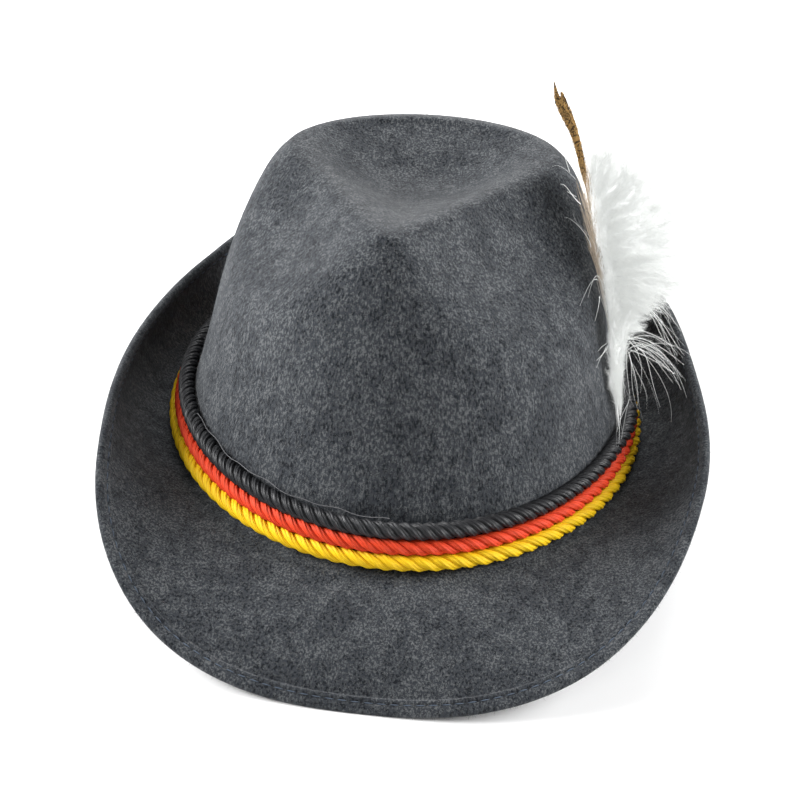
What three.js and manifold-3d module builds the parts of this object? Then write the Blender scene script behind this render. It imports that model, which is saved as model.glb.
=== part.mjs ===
// A felt hat in the tyrolean style: a teardrop crown with two front pinches, a brim that dips in front
// and curls up at the sides and back, three twisted cords round the crown, a white plume and a brown
// feather. Millimetres, +Z up, front of the hat towards -Y, the wearer's left towards +X.
import * as THREE from "three";
import Module from "manifold-3d";

const kit = await Module();
kit.setup();

// Head opening, inside the felt.
const HEAD_LENGTH = 200;
const HEAD_WIDTH = 172;

// Felt.
const FELT = 2.2;
const CROWN_HEIGHT = 113;
const CROWN_LEAN = 0.055; // rise of the crest towards the front
const CREST_TILT = 0.02; // rise of the crest towards the wearer's left
const CREST_TURN = 0.05; // turn of the crest's front towards the wearer's right
const CREST_SHIFT = 1.2; // and its shift to that side
const SADDLE = 1.54; // the crown's base line is this much lower in front and behind
const TIP_ROUND = 0.2; // roundness of the teardrop's point
const HALF_LENGTH = HEAD_LENGTH / 2 + FELT;
const HALF_WIDTH = HEAD_WIDTH / 2 + FELT;

// Crown sections from the base up over the crest and down to the middle of the top dent. up is a share
// of the crown's height, long, wide and back are shares of the half length, half width and half length,
// and point is how much of a teardrop the outline is.
const SECTIONS = [
  { up: 0.0, long: 1.0, wide: 1.0, back: 0.0, point: 0.0 },
  { up: 0.06, long: 0.985, wide: 0.984, back: 0.002, point: 0.0 },
  { up: 0.16, long: 0.952, wide: 0.942, back: 0.005, point: 0.0 },
  { up: 0.35, long: 0.908, wide: 0.886, back: 0.01, point: 0.0 },
  { up: 0.55, long: 0.855, wide: 0.834, back: 0.015, point: 0.0 },
  { up: 0.74, long: 0.79, wide: 0.775, back: 0.015, point: 0.0 },
  { up: 0.879, long: 0.72, wide: 0.71, back: 0.005, point: 0.08 },
  { up: 0.96, long: 0.63, wide: 0.63, back: -0.03, point: 0.5 },
  { up: 0.99, long: 0.56, wide: 0.57, back: -0.06, point: 0.85 },
  { up: 0.962, long: 0.44, wide: 0.42, back: 0.02, point: 1.1 },
  { up: 0.905, long: 0.27, wide: 0.29, back: 0.075, point: 0.9 },
  { up: 0.86, long: 0.137, wide: 0.147, back: 0.12, point: 0.4 },
  { up: 0.845, long: 0.0, wide: 0.0, back: 0.14, point: 0.0 },
];

// The two pinches are flats pressed into the front of the crown. x, y and z are the way each one faces,
// offset is its distance from the middle of the base as a share of the crown's height.
const PINCHES = [
  { side: "right", x: -0.7, y: -0.24, z: 0.67, offset: 0.9 },
  { side: "left", x: 0.65, y: -0.36, z: 0.67, offset: 0.88 },
];
const PINCH_SOFTNESS = 3; // roundness of the folds
const PINCH_DEPTH = 1.15; // above 1 the flats are slightly hollow
const PINCH_FADE_START = -26; // where the pinches begin to fade, counted towards the back
const PINCH_FADE_END = 34;

// Brim by bearing, 0 in front and 90 on the wearer's left. wide is a share of BRIM_WIDTH, start and end
// are the slopes in degrees where it leaves the crown and at its edge.
const BRIM_WIDTH = 46;
const BRIM = [
  { bearing: 0, wide: 1.22, start: -18, end: -60 },
  { bearing: 30, wide: 1.26, start: -16, end: -24 },
  { bearing: 60, wide: 1.08, start: -1, end: 52 },
  { bearing: 90, wide: 0.96, start: 7, end: 105 },
  { bearing: 120, wide: 1.01, start: 13, end: 108 },
  { bearing: 150, wide: 1.01, start: 13, end: 82 },
  { bearing: 180, wide: 0.98, start: 13, end: 85 },
  { bearing: 210, wide: 1.01, start: 13, end: 84 },
  { bearing: 240, wide: 0.89, start: 11, end: 120 },
  { bearing: 270, wide: 0.88, start: 7, end: 117 },
  { bearing: 300, wide: 1.04, start: 3, end: 76 },
  { bearing: 330, wide: 1.25, start: -16, end: -27 },
];
const HEM_WIDTH = 6.3; // the edge is turned over on top by this much
const HEM_RISE = 1.3; // and stands this much above the brim
const HEM_STEP = 0.6;
const EDGE_ANGLES = [50, 0, -50]; // points round the brim's edge, in degrees above level
const CORNER_DEPTH = 0.7; // inner corner between brim and crown, as a share of the felt

// Cords round the crown. above is the height over the lowest one, which lies on the brim behind and
// runs level in front.
const GAP = 0.3;
const CORDS = [
  { name: "cord_yellow", above: 0, radius: 2.75, colour: 0xf2b705, tucked: 0 },
  { name: "cord_red", above: 5.9, radius: 2.65, colour: 0xd93a1c, tucked: 0 },
  { name: "cord_black", above: 11.9, radius: 2.85, colour: 0x1d1f22, tucked: 1 },
];
const CORD_HEIGHT = 4.2; // of the lowest cord's middle above the crown's base
const CORD_TILT = 1.0; // lower on the wearer's left, higher on the right

// Plume and feather, both tucked behind the black cord on the wearer's left.
const QUILL_BEARING = 82;
const QUILL_THICK = 1.2;
const QUILL_SPREAD = 9; // degrees over which the black cord bulges over the quill
const LEAN_HEIGHT = 88; // above this the plume and feather leave the felt and lean straight on
const LEAN_ANGLE = 18;

// Backing of the plume. up and out are millimetres above the base and off the felt, turn is degrees of
// bearing towards the back, and wide and thick are half sizes away from the crown and along it.
const PLUME_BACKING = [
  { up: 13.6, out: 0.9, turn: 0, wide: 0.4, thick: 1.2 },
  { up: 20, out: 0.9, turn: 0, wide: 0.6, thick: 2.0 },
  { up: 34, out: 3.0, turn: 1, wide: 2.2, thick: 2.6 },
  { up: 50, out: 7.0, turn: 3, wide: 5.5, thick: 5.0 },
  { up: 66, out: 11.5, turn: 5, wide: 9.0, thick: 7.5 },
  { up: 82, out: 15.0, turn: 7, wide: 10.5, thick: 9.0 },
  { up: 95, out: 16.0, turn: 9, wide: 10.0, thick: 8.5 },
  { up: 105, out: 14.5, turn: 10, wide: 8.0, thick: 6.5 },
  { up: 112, out: 12.0, turn: 11, wide: 4.5, thick: 4.0 },
  { up: 117, out: 9.5, turn: 11, wide: 1.2, thick: 1.2 },
];

// Locks of the plume, from a point in the backing to a tip. turn is degrees of bearing towards the back.
const PLUME_LOCKS = [
  { from: 88, up: 115, out: 20, turn: 7, thick: 5.0 },
  { from: 80, up: 107, out: 27, turn: 9, thick: 5.4 },
  { from: 76, up: 96, out: 32, turn: 3, thick: 5.8 },
  { from: 72, up: 82, out: 34, turn: 7, thick: 5.4 },
  { from: 76, up: 69, out: 32, turn: -2, thick: 5.0 },
  { from: 72, up: 53, out: 31, turn: 0, thick: 4.4 },
  { from: 68, up: 38, out: 30, turn: -4, thick: 4.0 },
  { from: 62, up: 32, out: 22, turn: 1, thick: 3.6 },
  { from: 58, up: 36, out: 15, turn: -6, thick: 3.2 },
];

const LOCK_SHAPE = [0.5, 1, 1, 0.75, 0.35, 0.1]; // thickness from root to tip
const LOCK_BEND = 0.55; // the bend's place along the lock
const LOCK_RISE = 0.12; // and its rise, as shares of the lock's length

// Feather: stations along the shaft, wide and thick are half sizes of the vane.
const FEATHER = [
  { up: 13.6, out: 0.75, turn: -6, wide: 0.3, thick: 0.4 },
  { up: 20, out: 0.8, turn: -6, wide: 0.35, thick: 0.5 },
  { up: 40, out: 2.2, turn: -5.5, wide: 1.1, thick: 0.8 },
  { up: 62, out: 3.2, turn: -3.5, wide: 1.7, thick: 0.8 },
  { up: 84, out: 5.8, turn: 0, wide: 1.8, thick: 0.8 },
  { up: 104, out: 6.2, turn: 3.5, wide: 1.5, thick: 0.8 },
  { up: 121, out: 5.8, turn: 6.5, wide: 1.2, thick: 0.7 },
  { up: 131, out: 5.0, turn: 8, wide: 1.8, thick: 0.7 },
  { up: 139, out: 2.8, turn: 9.5, wide: 2.7, thick: 0.6 },
  { up: 143, out: 2.2, turn: 10, wide: 2.0, thick: 0.5 },
];
const FEATHER_FORK = [
  { up: 149, out: 1.4 },
  { up: 146, out: 4.6 },
];
const PRONG = [
  { wide: 0.4, thick: 0.3 },
  { wide: 1.5, thick: 0.5 },
  { wide: 0.1, thick: 0.1 },
];

// Rest: the hat stands on the front of its brim and the back of its base, pressed in by this much.
const PRESSED = 0.9;

// Fineness of the surfaces and of the search for a height on the wall, which ends in section WALL_TOP.
const ROUND = 48;
const ROWS_PER_SECTION = 2;
const BRIM_ROWS = 8;
const CORD_STEPS = 80;
const CORD_SIDES = 8;
const LIMB_SIDES = 6;
const WALL_TOP = 6;
const SEARCH_STEPS = 24;
const REST_STEPS = 40;
const REST_PITCHES = [-25, 10];

const UP = new THREE.Vector3(0, 0, 1);
const TURN = 2 * Math.PI;
const rad = THREE.MathUtils.degToRad;

function spline(a, b, c, d, t) {
  const linear = c - a;
  const square = 2 * a - 5 * b + 4 * c - d;
  const cube = 3 * (b - c) + d - a;
  return b + 0.5 * t * (linear + t * (square + t * cube));
}

// A column of an open table at a place counted in rows.
function along(table, column, place) {
  const last = table.length - 1;
  const at = THREE.MathUtils.clamp(place, 0, last);
  const row = Math.min(Math.floor(at), last - 1);
  const value = (k) => table[THREE.MathUtils.clamp(row + k, 0, last)][column];
  return spline(value(-1), value(0), value(1), value(2), at - row);
}

// A column of the brim's table at a bearing in radians.
function around(column, bearing) {
  const place = (bearing / TURN) * BRIM.length;
  const row = Math.floor(place);
  const value = (k) => BRIM[(((row + k) % BRIM.length) + BRIM.length) % BRIM.length][column];
  return spline(value(-1), value(0), value(1), value(2), place - row);
}

// The way out from the crown's base at a bearing.
function outward(bearing) {
  const x = Math.sin(bearing) / HALF_WIDTH;
  const y = -Math.cos(bearing) / HALF_LENGTH;
  return new THREE.Vector3(x, y, 0).normalize();
}

// Sideways reach of a teardrop outline of width 1, with its point in front.
function teardrop(bearing, point) {
  const high = (point + 1) / (point + 2);
  const widest = 2 * high ** ((point + 1) / 2) * (1 - high) ** 0.5;
  const soft = TIP_ROUND ** 2;
  const half = (Math.sin(bearing / 2) ** 2 + soft) / (1 + soft);
  return (Math.sin(bearing) * half ** (point / 2)) / widest;
}

function pinched(place) {
  const run = (PINCH_FADE_END - place.y) / (PINCH_FADE_END - PINCH_FADE_START);
  const share = THREE.MathUtils.smoothstep(run, 0, 1);
  for (const pinch of PINCHES) {
    const way = new THREE.Vector3(pinch.x, pinch.y, pinch.z).normalize();
    const over = (place.dot(way) - pinch.offset * CROWN_HEIGHT) / PINCH_SOFTNESS;
    const soft = over > 30 ? over : Math.log1p(Math.exp(over));
    place.addScaledVector(way, -soft * PINCH_SOFTNESS * PINCH_DEPTH * share);
  }
  return place;
}

// Outer face of the crown. row counts sections from the base.
function crownPoint(bearing, row) {
  const up = along(SECTIONS, "up", row);
  const long = along(SECTIONS, "long", row);
  const wide = along(SECTIONS, "wide", row);
  const back = along(SECTIONS, "back", row);
  const point = Math.max(along(SECTIONS, "point", row), 0);
  const x = HALF_WIDTH * wide * teardrop(bearing, point);
  const y = HALF_LENGTH * (back - long * Math.cos(bearing));
  const high = THREE.MathUtils.clamp(up, 0, 1) ** 2;
  const lean = (CREST_TILT * x - CROWN_LEAN * y) * high;
  const saddle = SADDLE * Math.cos(2 * bearing) * Math.max(1 - up, 0) ** 2;
  const turned = x + (CREST_TURN * y - CREST_SHIFT) * high;
  return pinched(new THREE.Vector3(turned, y, CROWN_HEIGHT * up + lean - saddle));
}

function crownNormal(bearing, row) {
  const step = 0.02;
  const last = SECTIONS.length - 1;
  const low = crownPoint(bearing, Math.max(row - step, 0));
  const high = crownPoint(bearing, Math.min(row + step, last));
  const before = crownPoint(bearing - step, row);
  const after = crownPoint(bearing + step, row);
  return after.sub(before).cross(high.sub(low)).normalize();
}

// Place of the crown's outer face at a height above its base.
function wallPoint(bearing, height) {
  let low = 0;
  let high = WALL_TOP;
  for (let k = 0; k < SEARCH_STEPS; k += 1) {
    const middle = (low + high) / 2;
    if (along(SECTIONS, "up", middle) * CROWN_HEIGHT < height) low = middle;
    else high = middle;
  }
  return crownPoint(bearing, low);
}

// Top face of the brim: share 0 at the crown and 1 at the edge. Its slope turns evenly on the way.
function brimPoint(bearing, share, lift) {
  const start = rad(around("start", bearing));
  const slope = start + (rad(around("end", bearing)) - start) * share;
  const length = BRIM_WIDTH * around("wide", bearing) * share;
  const bend = (slope - start) / 2;
  const chord = Math.abs(bend) < 1e-6 ? length : (length * Math.sin(bend)) / bend;
  const middle = (slope + start) / 2;
  const out = outward(bearing);
  return crownPoint(bearing, 0)
    .addScaledVector(out, chord * Math.cos(middle) - lift * Math.sin(slope))
    .addScaledVector(UP, chord * Math.sin(middle) + lift * Math.cos(slope));
}

function ring(place) {
  return Array.from({ length: ROUND }, (_, k) => place((k / ROUND) * TURN));
}

// Rings of points closed at both ends by a single point.
function skinned(first, rings, last) {
  const count = rings[0].length;
  const points = [first, ...rings.flat(), last];
  const index = [];
  const at = (row, k) => 1 + row * count + (k % count);
  for (let k = 0; k < count; k += 1) {
    index.push(0, at(0, k), at(0, k + 1));
    for (let row = 0; row < rings.length - 1; row += 1) {
      index.push(at(row, k), at(row + 1, k), at(row + 1, k + 1));
      index.push(at(row, k), at(row + 1, k + 1), at(row, k + 1));
    }
    index.push(at(rings.length - 1, k + 1), at(rings.length - 1, k), points.length - 1);
  }
  return surface(points, index);
}

function surface(points, index) {
  const geometry = new THREE.BufferGeometry();
  geometry.setAttribute("position", new THREE.Float32BufferAttribute(points.flatMap((p) => p.toArray()), 3));
  geometry.setIndex(index);
  geometry.computeVertexNormals();
  return geometry;
}

// Rows of the brim's top with its turned hem, then the rounded edge, then the underside.
function brimRings() {
  const rings = [];
  const share = (bearing, inset) => 1 - inset / (BRIM_WIDTH * around("wide", bearing));
  const inset = (distance, lift) => rings.push(ring((b) => brimPoint(b, share(b, distance), lift)));
  for (let k = 1; k <= BRIM_ROWS; k += 1) {
    const part = k / BRIM_ROWS;
    rings.push(ring((b) => brimPoint(b, part * share(b, HEM_WIDTH + HEM_STEP), 0)));
  }
  const half = (FELT + HEM_RISE) / 2;
  inset(HEM_WIDTH, HEM_RISE);
  inset((HEM_WIDTH + half) / 2, HEM_RISE);
  inset(half, HEM_RISE);
  for (const angle of EDGE_ANGLES) {
    inset(half * (1 - Math.cos(rad(angle))), half * Math.sin(rad(angle)) + HEM_RISE - half);
  }
  inset(half, -FELT);
  for (let k = BRIM_ROWS; k >= 1; k -= 1) {
    const part = k / BRIM_ROWS;
    rings.push(ring((b) => brimPoint(b, part * share(b, HEM_WIDTH + HEM_STEP), -FELT)));
  }
  return rings;
}

// The inner corner where the underside of the brim turns up into the crown.
function cornerRing() {
  return ring((bearing) => {
    const depth = CORNER_DEPTH * FELT;
    return crownPoint(bearing, 0).addScaledVector(outward(bearing), -depth).addScaledVector(UP, -depth);
  });
}

function feltSolid() {
  const last = SECTIONS.length - 1;
  const rows = last * ROWS_PER_SECTION;
  const outer = [];
  const inner = [];
  for (let k = 1; k <= rows; k += 1) {
    const row = last - k / ROWS_PER_SECTION;
    outer.push(ring((b) => crownPoint(b, row)));
    inner.unshift(ring((b) => crownPoint(b, row).addScaledVector(crownNormal(b, row), -FELT)));
  }
  const top = crownPoint(0, last);
  const under = top.clone().addScaledVector(UP, -FELT);
  return { first: top, rings: [...outer, ...brimRings(), cornerRing(), ...inner], last: under };
}

// The floor under the resting hat: the pitch at which the front of the brim and the back of the base
// are equally low, and how high the hat is lifted.
function findRest(points) {
  const height = (p, pitch) => p.y * Math.sin(pitch) + p.z * Math.cos(pitch);
  const lowest = (list, pitch) => Math.min(...list.map((p) => height(p, pitch)));
  const front = points.filter((p) => p.y < -HALF_LENGTH / 2);
  const back = points.filter((p) => p.y > HALF_LENGTH / 2);
  let [low, high] = REST_PITCHES.map(rad);
  for (let k = 0; k < REST_STEPS; k += 1) {
    const middle = (low + high) / 2;
    if (lowest(front, middle) < lowest(back, middle)) high = middle;
    else low = middle;
  }
  return { pitch: low, lift: -lowest(points, low) - PRESSED };
}

// Felt below the floor is pressed flat against it.
function pressFlat(point, rest) {
  const floor = new THREE.Vector3(0, Math.sin(rest.pitch), Math.cos(rest.pitch));
  const above = point.dot(floor) + rest.lift;
  return above < 0 ? point.addScaledVector(floor, -above) : point;
}

// Height of the lowest cord: level, but never lower than where it lies on the brim.
function cordHeight(bearing) {
  const away = CORDS[0].radius + GAP;
  const turned = around("end", bearing) - around("start", bearing);
  const share = away / (BRIM_WIDTH * around("wide", bearing));
  const slope = rad(around("start", bearing) + turned * share);
  const seat = away / Math.cos(slope) + away * Math.tan(slope) + GAP / 2;
  return Math.max(CORD_HEIGHT - CORD_TILT * Math.sin(bearing), seat);
}

// Centre of a cord at a bearing. A tucked cord bulges over the quill behind it.
function cordPoint(cord, bearing) {
  const away = Math.abs(bearing - rad(QUILL_BEARING)) / rad(QUILL_SPREAD);
  const bulge = cord.tucked * (QUILL_THICK + GAP) * Math.exp(-(away ** 2));
  const height = cordHeight(bearing) + cord.above;
  const saddle = SADDLE * Math.cos(2 * bearing);
  const place = wallPoint(bearing, height).setZ(height - saddle);
  return place.addScaledVector(outward(bearing), cord.radius + GAP + bulge);
}

function cordSolid(cord) {
  const points = [];
  const index = [];
  for (let k = 0; k < CORD_STEPS; k += 1) {
    const bearing = (k / CORD_STEPS) * TURN;
    const centre = cordPoint(cord, bearing);
    const out = outward(bearing);
    for (let s = 0; s < CORD_SIDES; s += 1) {
      const angle = (s / CORD_SIDES) * TURN;
      const point = centre.clone().addScaledVector(out, cord.radius * Math.cos(angle));
      points.push(point.addScaledVector(UP, cord.radius * Math.sin(angle)));
    }
  }
  const at = (k, s) => (k % CORD_STEPS) * CORD_SIDES + (s % CORD_SIDES);
  for (let k = 0; k < CORD_STEPS; k += 1) {
    for (let s = 0; s < CORD_SIDES; s += 1) {
      index.push(at(k, s), at(k + 1, s), at(k + 1, s + 1));
      index.push(at(k, s), at(k + 1, s + 1), at(k, s + 1));
    }
  }
  return surface(points, index);
}

// A place beside the crown: follows the felt up to LEAN_HEIGHT, then leans straight on.
function besideCrown(bearing, up, out) {
  const place = wallPoint(bearing, Math.min(up, LEAN_HEIGHT));
  const over = Math.max(up - LEAN_HEIGHT, 0);
  place.addScaledVector(outward(bearing), out - over * Math.tan(rad(LEAN_ANGLE)));
  return place.setZ(up);
}

// A tapering limb through stations of place, wide and thick. wide is measured away from the crown.
function limb(stations) {
  const side = new THREE.Vector3().crossVectors(UP, outward(rad(QUILL_BEARING))).normalize();
  const last = stations.length - 1;
  const rings = stations.slice(1, last).map((station, k) => {
    const along = stations[k + 2].place.clone().sub(stations[k].place).normalize();
    const out = new THREE.Vector3().crossVectors(side, along).normalize();
    const edge = new THREE.Vector3().crossVectors(out, along);
    return Array.from({ length: LIMB_SIDES }, (_, s) => {
      const angle = (s / LIMB_SIDES) * TURN;
      const point = station.place.clone().addScaledVector(out, station.wide * Math.cos(angle));
      return point.addScaledVector(edge, station.thick * Math.sin(angle));
    });
  });
  return skinned(stations[0].place, rings, stations[last].place);
}

function joined(solids) {
  const parts = solids.map((geometry) => {
    const vertProperties = new Float32Array(geometry.attributes.position.array);
    const triVerts = new Uint32Array(geometry.index.array);
    return new kit.Manifold(new kit.Mesh({ numProp: 3, vertProperties, triVerts }));
  });
  const mesh = kit.Manifold.union(parts).getMesh();
  const geometry = new THREE.BufferGeometry();
  geometry.setAttribute("position", new THREE.Float32BufferAttribute(Array.from(mesh.vertProperties), 3));
  geometry.setIndex(Array.from(mesh.triVerts));
  geometry.computeVertexNormals();
  return geometry;
}

function beside(row) {
  return besideCrown(rad(QUILL_BEARING + row.turn), row.up, row.out);
}

function stationsOf(table) {
  return table.map((row) => ({ ...row, place: beside(row) }));
}

// Middle of the backing at one height.
function insideBacking(up) {
  const next = PLUME_BACKING.findIndex((row) => row.up > up);
  const [low, high] = [PLUME_BACKING[next - 1], PLUME_BACKING[next]];
  return beside(low).lerp(beside(high), (up - low.up) / (high.up - low.up));
}

// One lock curves out of the backing, level at first, and ends in a thin tip.
function lock(row) {
  const start = insideBacking(row.from);
  const tip = beside(row);
  const rise = LOCK_RISE * start.distanceTo(tip);
  const bend = start.clone().lerp(tip, LOCK_BEND).addScaledVector(UP, rise);
  const curve = new THREE.QuadraticBezierCurve3(start, bend, tip);
  const stations = LOCK_SHAPE.map((share, k) => {
    const place = curve.getPoint(k / (LOCK_SHAPE.length - 1));
    return { place, wide: row.thick * share, thick: row.thick * share };
  });
  return limb(stations);
}

function plumeSolid() {
  return joined([limb(stationsOf(PLUME_BACKING)), ...PLUME_LOCKS.map(lock)]);
}

function featherSolid() {
  const vane = limb(stationsOf(FEATHER));
  const neck = FEATHER[FEATHER.length - 3];
  const prongs = FEATHER_FORK.map((tip) => {
    const between = { up: (neck.up + tip.up) / 2, out: (neck.out + tip.out) / 2 };
    const places = [neck, { ...neck, ...between }, { ...neck, ...tip }];
    return limb(stationsOf(places.map((place, k) => ({ ...place, ...PRONG[k] }))));
  });
  return joined([vane, ...prongs]);
}

function cloth(colour, roughness) {
  return new THREE.MeshStandardMaterial({ color: colour, roughness, metalness: 0 });
}

function named(name, geometry, material) {
  const mesh = new THREE.Mesh(geometry, material);
  mesh.name = name;
  return mesh;
}

function hat() {
  const felt = feltSolid();
  const rest = findRest(felt.rings.flat());
  const rings = felt.rings.map((points) => points.map((point) => pressFlat(point, rest)));
  const body = new THREE.Group();
  body.add(named("felt_body", skinned(felt.first, rings, felt.last), cloth(0x45474b, 0.95)));
  for (const cord of CORDS) {
    body.add(named(cord.name, cordSolid(cord), cloth(cord.colour, 0.45)));
  }
  body.add(named("plume_white", plumeSolid(), cloth(0xf4f4f2, 0.9)));
  body.add(named("feather_brown", featherSolid(), cloth(0x8a6638, 0.7)));
  body.rotation.x = rest.pitch;
  body.position.z = rest.lift;
  return body;
}

// The origin is the middle of the bottom of the hat's box.
function centred(body) {
  const group = new THREE.Group();
  group.add(body);
  group.updateMatrixWorld(true);
  const box = new THREE.Box3().setFromObject(group, true);
  const middle = box.getCenter(new THREE.Vector3());
  body.position.x -= middle.x;
  body.position.y -= middle.y;
  return group;
}

export default centred(hat());
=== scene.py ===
"""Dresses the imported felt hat: heathered felt with a turned hem, twisted cords, a down plume and a feather.

Shapes are worked out in the hat's own frame, in millimetres, with the front towards -Y and the wearer's
left towards +X. HatForm.place turns them to metres in the row frame, where the hat rests on its brim.
"""

import logging
from dataclasses import dataclass, field
from enum import Enum
from typing import NamedTuple

import bpy
import numpy as np
from bpy.types import Material, Node, NodeSocket, NodeTree, Object
from mathutils import Matrix, Vector


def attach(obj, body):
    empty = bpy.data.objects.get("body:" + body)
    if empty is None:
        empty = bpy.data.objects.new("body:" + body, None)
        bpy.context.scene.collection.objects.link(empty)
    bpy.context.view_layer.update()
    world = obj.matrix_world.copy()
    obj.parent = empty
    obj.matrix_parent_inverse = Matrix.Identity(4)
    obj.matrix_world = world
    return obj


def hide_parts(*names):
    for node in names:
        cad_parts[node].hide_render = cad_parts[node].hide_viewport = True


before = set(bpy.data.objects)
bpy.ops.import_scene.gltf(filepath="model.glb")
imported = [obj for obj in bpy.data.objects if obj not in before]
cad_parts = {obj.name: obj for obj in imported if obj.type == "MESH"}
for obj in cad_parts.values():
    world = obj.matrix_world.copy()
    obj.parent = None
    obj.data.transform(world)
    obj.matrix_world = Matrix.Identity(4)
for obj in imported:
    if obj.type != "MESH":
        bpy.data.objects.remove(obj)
log = logging.getLogger("hat")

TURN = 2 * np.pi
UP = np.array([0.0, 0.0, 1.0])
BODY = "root"
FLOAT, VECTOR = "NodeSocketFloat", "NodeSocketVector"

Array = np.ndarray
Pair = tuple[Array, Array]
Span = tuple[float, float]
Colour = tuple[float, float, float]
Rng = np.random.Generator


class Side(Enum):
    """The way a vane's barbs leave the shaft."""

    LEFT = -1
    RIGHT = 1


class VaneSizes(NamedTuple):
    """Part of a vane: heights of its roots, barbs on a side, their reach, share of the vane and width."""

    low: float
    high: float
    count: int
    shortest: float
    longest: float
    least: float
    most: float
    girth: float


class VanePart(Enum):
    """The dense upper part of a feather's vane and its loose lower strands."""

    UPPER = VaneSizes(112, 143, 300, 7, 11, 0.75, 1.1, 0.3)
    STRANDS = VaneSizes(60, 116, 90, 14, 30, 0.1, 2.1, 0.14)


# Array helpers


def unit(vectors: Array) -> Array:
    """Vectors divided by their length."""
    return vectors / np.maximum(np.linalg.norm(vectors, axis=-1, keepdims=True), 1e-9)


def smoothstep(value: Array) -> Array:
    """3t^2 - 2t^3 of the value held between 0 and 1."""
    t = np.clip(value, 0, 1)
    return t * t * (3 - 2 * t)


def catmull(a: Array, b: Array, c: Array, d: Array, t: Array) -> Array:
    """Uniform Catmull-Rom curve from b to c at share t."""
    cube = 3 * (b - c) + d - a
    return b + 0.5 * t * ((c - a) + t * ((2 * a - 5 * b + 4 * c - d) + t * cube))


def along(table: Array, place: Array) -> Array:
    """Rows of an open table at places counted in rows.

    Args:
        table: one row a section, one column a size.
        place: any shape of places, held inside the table.

    Returns:
        The place's shape with the table's columns last.
    """
    last = len(table) - 1
    at = np.clip(place, 0, last)
    row = np.minimum(np.floor(at), last - 1).astype(int)
    near = [table[np.clip(row + k, 0, last)] for k in (-1, 0, 1, 2)]
    return catmull(*near, (at - row)[..., None])


def around(table: Array, bearing: Array) -> Array:
    """Rows of a closed table, evenly spaced round the hat, at bearings in radians.

    Args:
        table: rows of values, evenly spaced round the hat.
        bearing: bearings in radians, from the front towards the wearer's left.

    Returns:
        The values at each bearing.
    """
    place = bearing / TURN * len(table)
    row = np.floor(place).astype(int)
    near = [table[(row + k) % len(table)] for k in (-1, 0, 1, 2)]
    return catmull(*near, (place - row)[..., None])


def by_height(table: Array, height: Array) -> Array:
    """Rows of an open table whose first column rises, at heights read in that column.

    Args:
        table: rows in rising order of their first column.
        height: the heights wanted, any shape.

    Returns:
        The other columns at those heights, smooth from row to row.
    """
    place = np.interp(height, table[:, 0], np.arange(len(table)))
    return along(table, place)[..., 1:]


def bezier(start: Array, first: Array, second: Array, end: Array, steps: int) -> Array:
    """Cubic Bezier curves, one for each row of the four points, in even steps.

    Args:
        start: first points, one for each curve.
        first: second points.
        second: third points.
        end: last points.
        steps: number of places on a curve.

    Returns:
        (count, steps, 3) points.
    """
    s = np.linspace(0, 1, steps)[None, :, None]
    r = 1 - s
    points = [start[:, None], first[:, None], second[:, None], end[:, None]]
    weights = [r**3, 3 * r * r * s, 3 * r * s * s, s**3]
    return sum(w * p for w, p in zip(weights, points))


# The hat's form


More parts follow.
